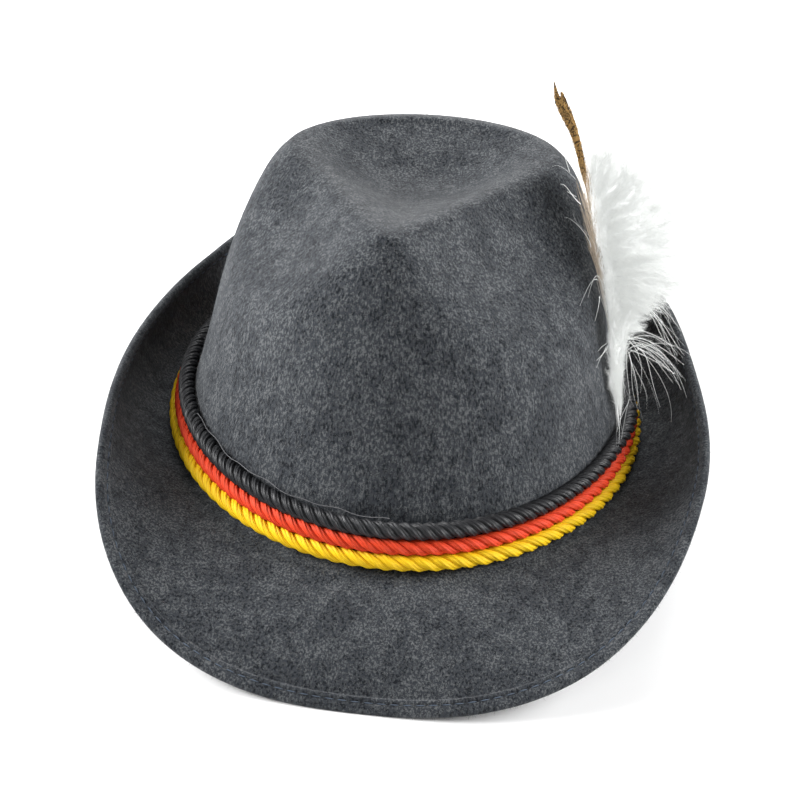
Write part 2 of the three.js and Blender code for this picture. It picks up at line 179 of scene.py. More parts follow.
@dataclass(frozen=True)
class HatForm:
    """The named sizes and formulas of the felt, shared by every piece that lies on it. Millimetres."""

    head_length: float = 200
    head_width: float = 172
    felt: float = 2.2
    crown_height: float = 113
    crown_lean: float = 0.055
    crest_tilt: float = 0.02
    crest_turn: float = 0.05
    crest_shift: float = 1.2
    saddle: float = 1.54
    tip_round: float = 0.2
    pinch_softness: float = 3
    pinch_depth: float = 1.15
    pinch_fade: tuple[float, float] = (-26, 34)
    brim_width: float = 46
    gap: float = 0.3
    cord_height: float = 4.2
    cord_tilt: float = 1.0
    lowest_cord: float = 2.75
    lean_height: float = 88
    lean_angle: float = 18
    wall_rows: int = 6
    halvings: int = 24
    rest_pitch: float = -7.778086
    rest_shift: tuple[float, float, float] = (-4.0093, 7.1225, 15.8534)
    # up, long, wide, back, point
    sections: tuple = (
        (0.0, 1.0, 1.0, 0.0, 0.0),
        (0.06, 0.985, 0.984, 0.002, 0.0),
        (0.16, 0.952, 0.942, 0.005, 0.0),
        (0.35, 0.908, 0.886, 0.01, 0.0),
        (0.55, 0.855, 0.834, 0.015, 0.0),
        (0.74, 0.79, 0.775, 0.015, 0.0),
        (0.879, 0.72, 0.71, 0.005, 0.08),
        (0.96, 0.63, 0.63, -0.03, 0.5),
        (0.99, 0.56, 0.57, -0.06, 0.85),
        (0.962, 0.44, 0.42, 0.02, 1.1),
        (0.905, 0.27, 0.29, 0.075, 0.9),
        (0.86, 0.137, 0.147, 0.12, 0.4),
        (0.845, 0.0, 0.0, 0.14, 0.0),
    )
    # facing x, y, z, offset
    pinches: tuple = ((-0.7, -0.24, 0.67, 0.9), (0.65, -0.36, 0.67, 0.88))
    # wide, start, end by bearing, from the front round by the wearer's left in steps of 30 degrees
    brim: tuple = (
        (1.22, -18, -60),
        (1.26, -16, -24),
        (1.08, -1, 52),
        (0.96, 7, 105),
        (1.01, 13, 108),
        (1.01, 13, 82),
        (0.98, 13, 85),
        (1.01, 13, 84),
        (0.89, 11, 120),
        (0.88, 7, 117),
        (1.04, 3, 76),
        (1.25, -16, -27),
    )

    @property
    def half_length(self) -> float:
        """Half the crown's base from front to back, outside the felt."""
        return self.head_length / 2 + self.felt

    @property
    def half_width(self) -> float:
        """Half the crown's base from side to side, outside the felt."""
        return self.head_width / 2 + self.felt

    def outward(self, bearing: Array) -> Array:
        """The level way out from the crown's base at bearings.

        Args:
            bearing: bearings in radians, from the front towards the wearer's left.

        Returns:
            (..., 3) unit vectors.
        """
        x = np.sin(bearing) / self.half_width
        y = -np.cos(bearing) / self.half_length
        return unit(np.stack([x, y, 0 * x], -1))

    def teardrop(self, bearing: Array, point: Array) -> Array:
        """Sideways reach of an outline of width 1 that narrows to a soft point in front.

        sin(b) times sin(b/2) to the power of point, divided by its own largest value.

        Args:
            bearing: bearings in radians, from the front towards the wearer's left.
            point: how narrow the front is, and 0 for a round one.

        Returns:
            The reach at each bearing.
        """
        high = (point + 1) / (point + 2)
        widest = 2 * high ** ((point + 1) / 2) * (1 - high) ** 0.5
        soft = self.tip_round**2
        half = (np.sin(bearing / 2) ** 2 + soft) / (1 + soft)
        return np.sin(bearing) * half ** (point / 2) / widest

    def pinched(self, points: Array) -> Array:
        """Points pressed back behind the two soft planes of the pinches, less and less towards the back.

        Args:
            points: (..., 3) points in millimetres.

        Returns:
            The pressed points.
        """
        start, end = self.pinch_fade
        share = smoothstep((end - points[..., 1]) / (end - start))[..., None]
        for x, y, z, offset in self.pinches:
            way = unit(np.array([x, y, z]))
            over = (points @ way - offset * self.crown_height) / self.pinch_softness
            soft = np.logaddexp(0, over) * self.pinch_softness * self.pinch_depth
            points = points - way * soft[..., None] * share
        return points

    def crown(self, bearing: Array, row: Array) -> Array:
        """Outer face of the crown at bearings, and rows counted in sections from the base.

        Each section is an ellipse drawn to a teardrop near the top. The crest leans down towards the
        back and the base line is lower in front and behind. The crest is a little higher on the
        wearer's left, and shifted and turned a little to the right, by amounts that grow with the
        square of the height. The two pinches are pressed in last.

        Args:
            bearing: bearings in radians, from the front towards the wearer's left.
            row: rows counted in sections from the base.

        Returns:
            (..., 3) points in millimetres.
        """
        bearing, row = np.broadcast_arrays(bearing, row)
        up, long, wide, back, point = np.moveaxis(along(np.array(self.sections), row), -1, 0)
        x = self.half_width * wide * self.teardrop(bearing, np.maximum(point, 0))
        y = self.half_length * (back - long * np.cos(bearing))
        lean = self.crown_lean * y * np.minimum(up, 1) ** 2
        saddle = self.saddle * np.cos(2 * bearing) * np.maximum(1 - up, 0) ** 2
        high = np.clip(up, 0, 1) ** 2
        z = self.crown_height * up - lean - saddle + self.crest_tilt * x * high
        x = x + (self.crest_turn * y - self.crest_shift) * high
        return self.pinched(np.stack([x, y, z], -1))

    def crown_normal(self, bearing: Array, row: Array) -> Array:
        """Way out of the crown's felt: the slope along the bearing crossed with the slope along the row.

        Args:
            bearing: bearings in radians, from the front towards the wearer's left.
            row: rows counted in sections from the base.

        Returns:
            (..., 3) unit vectors.
        """
        step = 0.02
        last = len(self.sections) - 1
        low = self.crown(bearing, np.maximum(row - step, 0))
        high = self.crown(bearing, np.minimum(row + step, last))
        side = self.crown(bearing + step, row) - self.crown(bearing - step, row)
        return unit(np.cross(side, high - low))

    def wall(self, bearing: Array, height: Array) -> Array:
        """Outer face of the crown at heights above its base, found by halving its lower rows.

        Args:
            bearing: bearings in radians, from the front towards the wearer's left.
            height: heights above the base in millimetres.

        Returns:
            (..., 3) points in millimetres.
        """
        bearing, height = np.broadcast_arrays(bearing, height)
        low = np.zeros(bearing.shape)
        high = np.full(bearing.shape, float(self.wall_rows))
        table = np.array(self.sections)
        for _ in range(self.halvings):
            middle = (low + high) / 2
            under = along(table, middle)[..., 0] * self.crown_height < height
            low = np.where(under, middle, low)
            high = np.where(under, high, middle)
        return self.crown(bearing, low)

    def brim_sizes(self, bearing: Array) -> tuple[Array, Array, Array]:
        """Length of the brim, and its slopes in radians where it leaves the crown and at its edge."""
        wide, start, end = np.moveaxis(around(np.array(self.brim), bearing), -1, 0)
        return self.brim_width * wide, np.radians(start), np.radians(end)

    def brim_face(self, bearing: Array, inset: Array, lift: Array) -> Array:
        """The brim at a distance in from its edge and a height over its top face.

        The brim is an arc whose slope turns evenly from the crown to the edge, so a point lies at the
        chord length * sin(bend) / bend, in the direction half way between the two slopes.

        Args:
            bearing: bearings in radians, from the front towards the wearer's left.
            inset: distances in from the edge.
            lift: heights over the top face.

        Returns:
            (..., 3) points in millimetres.
        """
        whole, start, end = self.brim_sizes(bearing)
        share = 1 - inset / whole
        slope = start + (end - start) * share
        bend = (slope - start) / 2
        chord = whole * share * np.sinc(bend / np.pi)
        middle = (slope + start) / 2
        out = chord * np.cos(middle) - lift * np.sin(slope)
        rise = chord * np.sin(middle) + lift * np.cos(slope)
        base = self.crown(bearing, 0 * bearing)
        return base + self.outward(bearing) * out[..., None] + UP * rise[..., None]

    def cord_line(self, bearing: Array) -> Array:
        """Height of the lowest cord's middle: level, but never lower than where it lies on the brim.

        Args:
            bearing: bearings in radians, from the front towards the wearer's left.

        Returns:
            The height at each bearing.
        """
        away = self.lowest_cord + self.gap
        whole, start, end = self.brim_sizes(bearing)
        slope = start + (end - start) * away / whole
        seat = away / np.cos(slope) + away * np.tan(slope) + self.gap / 2
        return np.maximum(self.cord_height - self.cord_tilt * np.sin(bearing), seat)

    def beside(self, bearing: Array, up: Array, out: Array) -> Array:
        """Places beside the crown: they follow the felt up to lean_height, then lean straight on.

        Args:
            bearing: bearings in radians, from the front towards the wearer's left.
            up: heights above the crown's base in millimetres.
            out: distances from the felt.

        Returns:
            (..., 3) points in millimetres.
        """
        over = np.maximum(up - self.lean_height, 0) * np.tan(np.radians(self.lean_angle))
        place = self.wall(bearing, np.minimum(up, self.lean_height))
        place = place + self.outward(bearing) * (out - over)[..., None]
        place[..., 2] = up
        return place

    def place(self, points: Array) -> Array:
        """Hat millimetres to row metres: pitched about X, shifted, and never below the floor.

        Args:
            points: (..., 3) points in millimetres.

        Returns:
            Points in metres.
        """
        pitch = np.radians(self.rest_pitch)
        x, y, z = np.moveaxis(points, -1, 0)
        forward = y * np.cos(pitch) - z * np.sin(pitch)
        upward = y * np.sin(pitch) + z * np.cos(pitch)
        placed = (np.stack([x, forward, upward], -1) + np.array(self.rest_shift)) / 1000
        placed[..., 2] = np.maximum(placed[..., 2], 0)
        return placed


# Meshes


def solid_mesh(name: str, points: Array, faces: Array, uv: Array | None = None) -> Object:
    """A mesh object from arrays.

    Args:
        name: the piece's name.
        points: (n, 3) places in metres.
        faces: (f, 3) or (f, 4) corners, all faces with the same number of corners.
        uv: (f, corners, 2) pattern coordinates of each face's corners, or None.

    Returns:
        The new object, linked to the scene, at the origin and unturned.
    """
    mesh = bpy.data.meshes.new(name)
    corners = faces.shape[1]
    mesh.vertices.add(len(points))
    mesh.vertices.foreach_set("co", points.astype(np.float32).ravel())
    mesh.loops.add(faces.size)
    mesh.loops.foreach_set("vertex_index", faces.astype(np.int32).ravel())
    mesh.polygons.add(len(faces))
    mesh.polygons.foreach_set("loop_start", np.arange(0, faces.size, corners, dtype=np.int32))
    mesh.polygons.foreach_set("use_smooth", np.ones(len(faces), dtype=bool))
    if uv is not None:
        layer = mesh.uv_layers.new(name="surface")
        layer.data.foreach_set("uv", uv.astype(np.float32).ravel())
    mesh.update(calc_edges=True)
    mesh.validate()
    piece = bpy.data.objects.new(name, mesh)
    bpy.context.scene.collection.objects.link(piece)
    return piece


def grid_faces(rows: int, columns: int, wrap_rows: bool, wrap_columns: bool) -> Array:
    """Quads of a grid of points, row after row, joined end to end where it wraps.

    Args:
        rows: number of rows.
        columns: number of points in a row.
        wrap_rows: whether the last row joins the first.
        wrap_columns: whether each row is closed.

    Returns:
        (count, 4) point numbers.
    """
    i = np.arange(rows if wrap_rows else rows - 1)
    j = np.arange(columns if wrap_columns else columns - 1)
    i, j = [a.ravel() for a in np.meshgrid(i, j, indexing="ij")]
    low, high = i, (i + 1) % rows
    left, right = j, (j + 1) % columns
    corners = [low * columns + left, high * columns + left, high * columns + right, low * columns + right]
    return np.stack(corners, -1)


def grid_uv(u: Array, v: Array) -> Array:
    """Pattern coordinates for grid_faces: u and v hold one value more than the points where it wraps.

    Args:
        u: values of the rows.
        v: values of the columns.

    Returns:
        (count, 4, 2) coordinates of the quads' corners.
    """
    i, j = np.meshgrid(np.arange(len(u) - 1), np.arange(len(v) - 1), indexing="ij")
    i, j = i.ravel(), j.ravel()
    corners = [(i, j), (i + 1, j), (i + 1, j + 1), (i, j + 1)]
    return np.stack([np.stack([u[a], v[b]], -1) for a, b in corners], 1)


def ribbon_arrays(curves: Array, widths: Array, across: Array) -> Pair:
    """Flat ribbons along many curves.

    Args:
        curves: (n, steps, 3) points.
        widths: (n, steps) full widths.
        across: (n, steps, 3) unit vectors across the ribbon.

    Returns:
        Points (n * steps * 2, 3) and quads.
    """
    count, steps, _ = curves.shape
    half = across * widths[..., None] / 2
    points = np.stack([curves - half, curves + half], 2).reshape(-1, 3)
    first = (np.arange(count)[:, None] * steps + np.arange(steps - 1)).ravel() * 2
    return points, np.stack([first, first + 1, first + 3, first + 2], -1)


def tube_arrays(curves: Array, radii: Array, sides: int) -> Pair:
    """Closed round tubes along many curves: rings square to each curve, the end rings shrunk to nothing.

    Args:
        curves: (n, steps, 3) points.
        radii: (n, steps) radii.
        sides: corners of each ring.

    Returns:
        Points (n * steps * sides, 3) and quads that point outwards.
    """
    count, steps, _ = curves.shape
    ahead = unit(np.gradient(curves, axis=1))
    rough = np.broadcast_to(np.array([0.31, 0.52, 0.79]), ahead.shape)
    side = unit(np.cross(ahead, rough))
    other = np.cross(ahead, side)
    angle = np.arange(sides) / sides * TURN
    turn = side[:, :, None] * np.cos(angle)[:, None] + other[:, :, None] * np.sin(angle)[:, None]
    points = curves[:, :, None] + turn * radii[:, :, None, None]
    quads = grid_faces(steps, sides, False, True)[:, ::-1]
    every = (np.arange(count)[:, None, None] * steps * sides + quads).reshape(-1, 4)
    return points.reshape(-1, 3), every


# Materials


@dataclass
class NodeSheet:
    """A node tree being filled: short ways to add nodes, wire them and set their sockets."""

    tree: NodeTree

    def add(self, kind: str, settings: dict | None = None, values: dict | None = None) -> Node:
        """A new node.

        Args:
            kind: the node's type.
            settings: attributes of the node.
            values: input sockets by name or number, each a value or an output socket.

        Returns:
            The node.
        """
        node = self.tree.nodes.new(kind)
        for key, value in (settings or {}).items():
            setattr(node, key, value)
        for key, value in (values or {}).items():
            self.feed(node.inputs[key], value)
        return node

    def feed(self, socket: NodeSocket, value: object) -> None:
        """Wires an output socket to an input, or sets the input's own value.

        Args:
            socket: the input.
            value: an output socket or a plain value.
        """
        if isinstance(value, NodeSocket):
            self.tree.links.new(value, socket)
        else:
            socket.default_value = value

    def math(self, operation: str, first: object, second: object = 0.0) -> NodeSocket:
        """The result of a Math node."""
        return self.add("ShaderNodeMath", {"operation": operation}, {0: first, 1: second}).outputs[0]

    def times(self, first: object, second: object) -> NodeSocket:
        """The product of two values."""
        return self.math("MULTIPLY", first, second)

    def plus(self, first: object, second: object) -> NodeSocket:
        """The sum of two values."""
        return self.math("ADD", first, second)

    def sine(self, value: object) -> NodeSocket:
        """The sine of a value in radians."""
        return self.math("SINE", value)

    def mix(self, share: object, first: object, second: object) -> NodeSocket:
        """A colour between two, by a share that changes over the surface. Plain colours are made opaque.

        Args:
            share: share of the second colour.
            first: first colour.
            second: second colour.

        Returns:
            The mixed colour.
        """
        first, second = [(*c, 1.0) if isinstance(c, tuple) else c for c in (first, second)]
        values = {0: share, 6: first, 7: second}
        return self.add("ShaderNodeMix", {"data_type": "RGBA"}, values).outputs[2]

    def ramp(self, share: object, low: float, high: float) -> NodeSocket:
        """0 below low and 1 above high, smooth between.

        Args:
            share: the value.
            low: where the ramp starts.
            high: where it ends.

        Returns:
            The value from 0 to 1.
        """
        settings = {"interpolation_type": "SMOOTHSTEP"}
        values = {"Value": share, "From Min": low, "From Max": high}
        return self.add("ShaderNodeMapRange", settings, values).outputs[0]

    def noise(self, vector: object, scale: object, detail: float = 2.0) -> NodeSocket:
        """The value of a noise texture."""
        values = {"Vector": vector, "Scale": scale, "Detail": detail}
        return self.add("ShaderNodeTexNoise", None, values).outputs[0]

    def split(self, vector: object) -> bpy.types.bpy_prop_collection:
        """The three parts of a vector."""
        return self.add("ShaderNodeSeparateXYZ", None, {0: vector}).outputs

    def group(self, tree: NodeTree, values: dict) -> bpy.types.bpy_prop_collection:
        """The outputs of a node group fed with values by name."""
        return self.add("ShaderNodeGroup", {"node_tree": tree}, values).outputs

    def bump(self, strength: float, distance: float, height: object) -> NodeSocket:
        """The normal of a surface with this relief."""
        values = {"Strength": strength, "Distance": distance, "Height": height}
        return self.add("ShaderNodeBump", None, values).outputs[0]


def new_group(name: str, inputs: dict[str, str], outputs: dict[str, str]) -> tuple[NodeSheet, dict, dict]:
    """An empty shader node group.

    Args:
        name: the group's name.
        inputs: names of the inputs and their socket types.
        outputs: names of the outputs and their socket types.

    Returns:
        Its sheet, its input sockets by name, and its output sockets by name.
    """
    tree = bpy.data.node_groups.new(name, "ShaderNodeTree")
    for title, kind in inputs.items():
        tree.interface.new_socket(title, in_out="INPUT", socket_type=kind)
    for title, kind in outputs.items():
        tree.interface.new_socket(title, in_out="OUTPUT", socket_type=kind)
    sheet = NodeSheet(tree)
    taken = sheet.add("NodeGroupInput").outputs
    given = sheet.add("NodeGroupOutput").inputs
    return sheet, {k: taken[k] for k in inputs}, {k: given[k] for k in outputs}


@dataclass(frozen=True)
class Heather:
    """Heathered wool: light and dark fibres in short upright streaks, with soft patches and a fine grain.

    Sizes are shares of the group's Scale, and spans are the ends of its ramps.
    """

    upright: float = 0.4
    other: float = 0.8
    grain: float = 2.0
    near: float = 0.17
    wide: float = 0.045
    light: Span = (0.45, 0.66)
    dark: Span = (0.44, 0.62)
    patch: Span = (0.4, 0.6)

    def group(self) -> NodeTree:
        """Streaks are noise drawn out along Z, patches are two coarser noises and grain is a fine noise.

        Returns:
            The node group.
        """
        inputs = {"Vector": VECTOR, "Scale": FLOAT}
        outputs = {"Light": FLOAT, "Dark": FLOAT, "Patch": FLOAT, "Height": FLOAT}
        sheet, taken, given = new_group("heather", inputs, outputs)
        vector, scale = taken["Vector"], taken["Scale"]
        values = {"Vector": vector, "Scale": (1.0, 1.0, self.upright)}
        drawn = sheet.add("ShaderNodeMapping", None, values).outputs[0]
        values = {"Vector": drawn, "Location": (0.4, 0.7, 0.2)}
        moved = sheet.add("ShaderNodeMapping", None, values).outputs[0]
        streak = sheet.noise(drawn, scale, 3.0)
        other = sheet.noise(moved, sheet.times(scale, self.other), 3.0)
        grain = sheet.noise(vector, sheet.times(scale, self.grain))
        near = sheet.noise(moved, sheet.times(scale, self.near))
        wide = sheet.noise(vector, sheet.times(scale, self.wide))
        fleck = sheet.plus(sheet.times(streak, 0.6), sheet.times(grain, 0.4))
        patch = sheet.plus(sheet.times(near, 0.55), sheet.times(wide, 0.45))
        sheet.feed(given["Light"], sheet.ramp(fleck, *self.light))
        sheet.feed(given["Dark"], sheet.ramp(other, *self.dark))
        sheet.feed(given["Patch"], sheet.ramp(patch, *self.patch))
        sheet.feed(given["Height"], sheet.plus(fleck, sheet.times(grain, 0.5)))
        return sheet.tree


@dataclass(frozen=True)
class Filaments:
    """Filaments on a strand: sine waves across V that slant with U, broken up by noise."""

    bend: float = 3.0
    drawn: float = 2.0
    mottle: float = 1.6
    shade: Span = (0.3, 0.7)

    def group(self) -> NodeTree:
        """Height is |sin| of pi (Lines V + Slant U). Shade is noise drawn out along the filaments.

        Returns:
            The node group.
        """
        inputs = {"Vector": VECTOR, "Lines": FLOAT, "Slant": FLOAT}
        sheet, taken, given = new_group("yarn", inputs, {"Height": FLOAT, "Shade": FLOAT})
        u, v, _ = sheet.split(taken["Vector"])
        place = sheet.plus(sheet.times(v, taken["Lines"]), sheet.times(u, taken["Slant"]))
        bend = sheet.noise(taken["Vector"], self.bend)
        wave = sheet.sine(sheet.times(sheet.plus(place, bend), np.pi))
        values = {0: sheet.times(place, self.drawn), 1: u}
        joined = sheet.add("ShaderNodeCombineXYZ", None, values).outputs[0]
        sheet.feed(given["Height"], sheet.math("ABSOLUTE", wave))
        sheet.feed(given["Shade"], sheet.ramp(sheet.noise(joined, self.mottle, 3.0), *self.shade))
        return sheet.tree


@dataclass(frozen=True)
class Finish:
    """What every finish of the hat has: a name, a roughness and a sheen."""

    name: str
    roughness: float = 0.9
    sheen: float = 0.0
    specular: float = 0.3

    def start(self) -> tuple[Material, NodeSheet, Node]:
        """A material with its Principled BSDF wired and its even values set on the shader's own sockets.

        Returns:
            The material, its node sheet and its shader.
        """
        material = bpy.data.materials.new(self.name)
        material.use_nodes = True
        sheet = NodeSheet(material.node_tree)
        material.node_tree.nodes.clear()
        values = {"Roughness": self.roughness, "Sheen Weight": self.sheen}
        values["Specular IOR Level"] = self.specular
        shader = sheet.add("ShaderNodeBsdfPrincipled", None, values)
        sheet.add("ShaderNodeOutputMaterial", None, {"Surface": shader.outputs[0]})
        return material, sheet, shader


@dataclass(frozen=True)
class WoolFinish(Finish):
    """Heathered wool felt, or its loose fibres."""

    dark: Colour = (0.007, 0.0085, 0.0115)
    middle: Colour = (0.03, 0.034, 0.04)
    light: Colour = (0.105, 0.11, 0.114)
    scale: float = 1250
    relief: float = 0.6
    nap: float = 0.0005
    least_dark: float = 0.35
    least_light: float = 0.45

    def material(self, heather: NodeTree) -> Material:
        """Middle grey, darkened and lightened by the heather masks, with the fibres in relief.

        Args:
            heather: the group of the heather masks.

        Returns:
            The material.
        """
        material, sheet, shader = self.start()
        place = sheet.add("ShaderNodeTexCoord").outputs["Object"]
        wool = sheet.group(heather, {"Vector": place, "Scale": self.scale})
        shy = sheet.math("SUBTRACT", 1.0, wool["Patch"])
        deep = sheet.times(wool["Dark"], sheet.plus(self.least_dark, shy))
        base = sheet.mix(deep, self.middle, self.dark)
        pale = sheet.times(wool["Light"], sheet.plus(self.least_light, wool["Patch"]))
        sheet.feed(shader.inputs["Base Color"], sheet.mix(pale, base, self.light))
        sheet.feed(shader.inputs["Normal"], sheet.bump(self.relief, self.nap, wool["Height"]))
        return material


@dataclass(frozen=True)
class YarnFinish(Finish):
    """Satin yarn of a twisted cord or thread, with painted shade in the grooves between its filaments."""

    colour: Colour = (0.5, 0.5, 0.5)
    # shade is a darker copy of the colour: painted shade for the grooves, also used for the random streaks
    shade: Colour = (0.2, 0.2, 0.2)
    lines: float = 9
    slant: float = 0.3
    relief: float = 0.6
    depth: float = 0.0002
    groove_shade: float = 0.8
    mottle: float = 0.3

    def material(self, yarn: NodeTree) -> Material:
        """The colour, with painted shade in the grooves between filaments, darker in random streaks along
        them, and with the filaments in relief.

        Args:
            yarn: the group of the filaments.

        Returns:
            The material.
        """
        material, sheet, shader = self.start()
        place = sheet.add("ShaderNodeUVMap", {"uv_map": "surface"}).outputs[0]
        threads = sheet.group(yarn, {"Vector": place, "Lines": self.lines, "Slant": self.slant})
        # painted shade: the colour darkens towards shade where the filaments dip
        low = sheet.times(sheet.math("SUBTRACT", 1.0, threads["Height"]), self.groove_shade)
        grooved = sheet.mix(low, self.colour, self.shade)
        varied = sheet.mix(sheet.times(threads["Shade"], self.mottle), grooved, self.shade)
        sheet.feed(shader.inputs["Base Color"], varied)
        sheet.feed(shader.inputs["Normal"], sheet.bump(self.relief, self.depth, threads["Height"]))
        return material


@dataclass(frozen=True)
class DownFinish(Finish):
    """White down: bright with a painted glow, faintly grey in patches."""

    colour: Colour = (0.69, 0.7, 0.69)
    shade: Colour = (0.61, 0.62, 0.615)
    painted_glow: float = 0.32
    scale: float = 260.0
    mottle: float = 0.6

    def material(self, heather: NodeTree) -> Material:
        """White mixed with grey by coarse flecks, and a painted glow: light of its own that stands in for the
        light down scatters through itself.

        Args:
            heather: the group of the heather masks.

        Returns:
            The material.
        """
        material, sheet, shader = self.start()
        place = sheet.add("ShaderNodeTexCoord").outputs["Object"]
        fleck = sheet.group(heather, {"Vector": place, "Scale": self.scale})
        tint = sheet.mix(sheet.times(fleck["Light"], self.mottle), self.colour, self.shade)
        sheet.feed(shader.inputs["Base Color"], tint)
        # painted glow: the down gives light of its own
        sheet.feed(shader.inputs["Emission Color"], tint)
        sheet.feed(shader.inputs["Emission Strength"], self.painted_glow)
        return material


@dataclass(frozen=True)
class BandedFinish(Finish):
    """A brown feather: ochre with dark marks near the tip, pale and pinkish lower down, white at the foot,
    where the white is partly painted light against the shade between the felt and the plume.
    """

    ochre: Colour = (0.52, 0.31, 0.1)
    dark: Colour = (0.06, 0.03, 0.012)
    pale: Colour = (0.62, 0.51, 0.39)
    # white: the pale foot, painted lighter than its own colour to offset the shade it lies in between the
    # felt and the plume
    white: Colour = (0.74, 0.72, 0.68)
    bands: float = 24
    scale: float = 800.0
    drift_scale: float = 620.0
    drift: float = 4.0
    mark: Span = (0.1, 0.7)
    brown_from: Span = (0.68, 0.8)
    pale_from: Span = (0.42, 0.56)
    least_fleck: float = 0.1
    more_fleck: float = 0.5

    def material(self, heather: NodeTree) -> Material:
        """U runs along the feather. Marks are a sine of U bent by noise, and fade out lower down.

        Args:
            heather: the group of the heather masks.

        Returns:
            The material.
        """
        material, sheet, shader = self.start()
        place = sheet.add("ShaderNodeUVMap", {"uv_map": "surface"}).outputs[0]
        body = sheet.add("ShaderNodeTexCoord").outputs["Object"]
        u = sheet.split(place)[0]
        fleck = sheet.group(heather, {"Vector": body, "Scale": self.scale})
        drift = sheet.times(sheet.noise(body, self.drift_scale), self.drift)
        bent = sheet.plus(sheet.times(u, self.bands), drift)
        wave = sheet.ramp(sheet.sine(sheet.times(bent, TURN)), *self.mark)
        upper = sheet.ramp(u, *self.brown_from)
        # the foot turns white, partly painted light against the shade there
        lower = sheet.mix(sheet.ramp(u, *self.pale_from), self.white, self.pale)
        ground = sheet.mix(upper, lower, self.ochre)
        amount = sheet.plus(self.least_fleck, sheet.times(upper, self.more_fleck))
        flecked = sheet.mix(sheet.times(fleck["Light"], amount), ground, self.dark)
        barred = sheet.mix(sheet.times(wave, upper), flecked, self.dark)
        sheet.feed(shader.inputs["Base Color"], barred)
        return material


# Pieces


@dataclass
class Piece:
    """A made piece with its name and its slot."""

    name: str
    slot: str

    def hand_in(self, made: Object, material: Material, nodes: tuple[str, ...] = ()) -> None:
        """Dresses the object, lets it ride on the hat and hides the CAD nodes that it stands for.

        Args:
            made: the object.
            material: its material.
            nodes: the CAD nodes it stands for.
        """
        made.data.materials.append(material)
        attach(made, BODY)
        if nodes:
            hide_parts(*nodes)
        log.info("%s: %d faces", made.name, len(made.data.polygons))


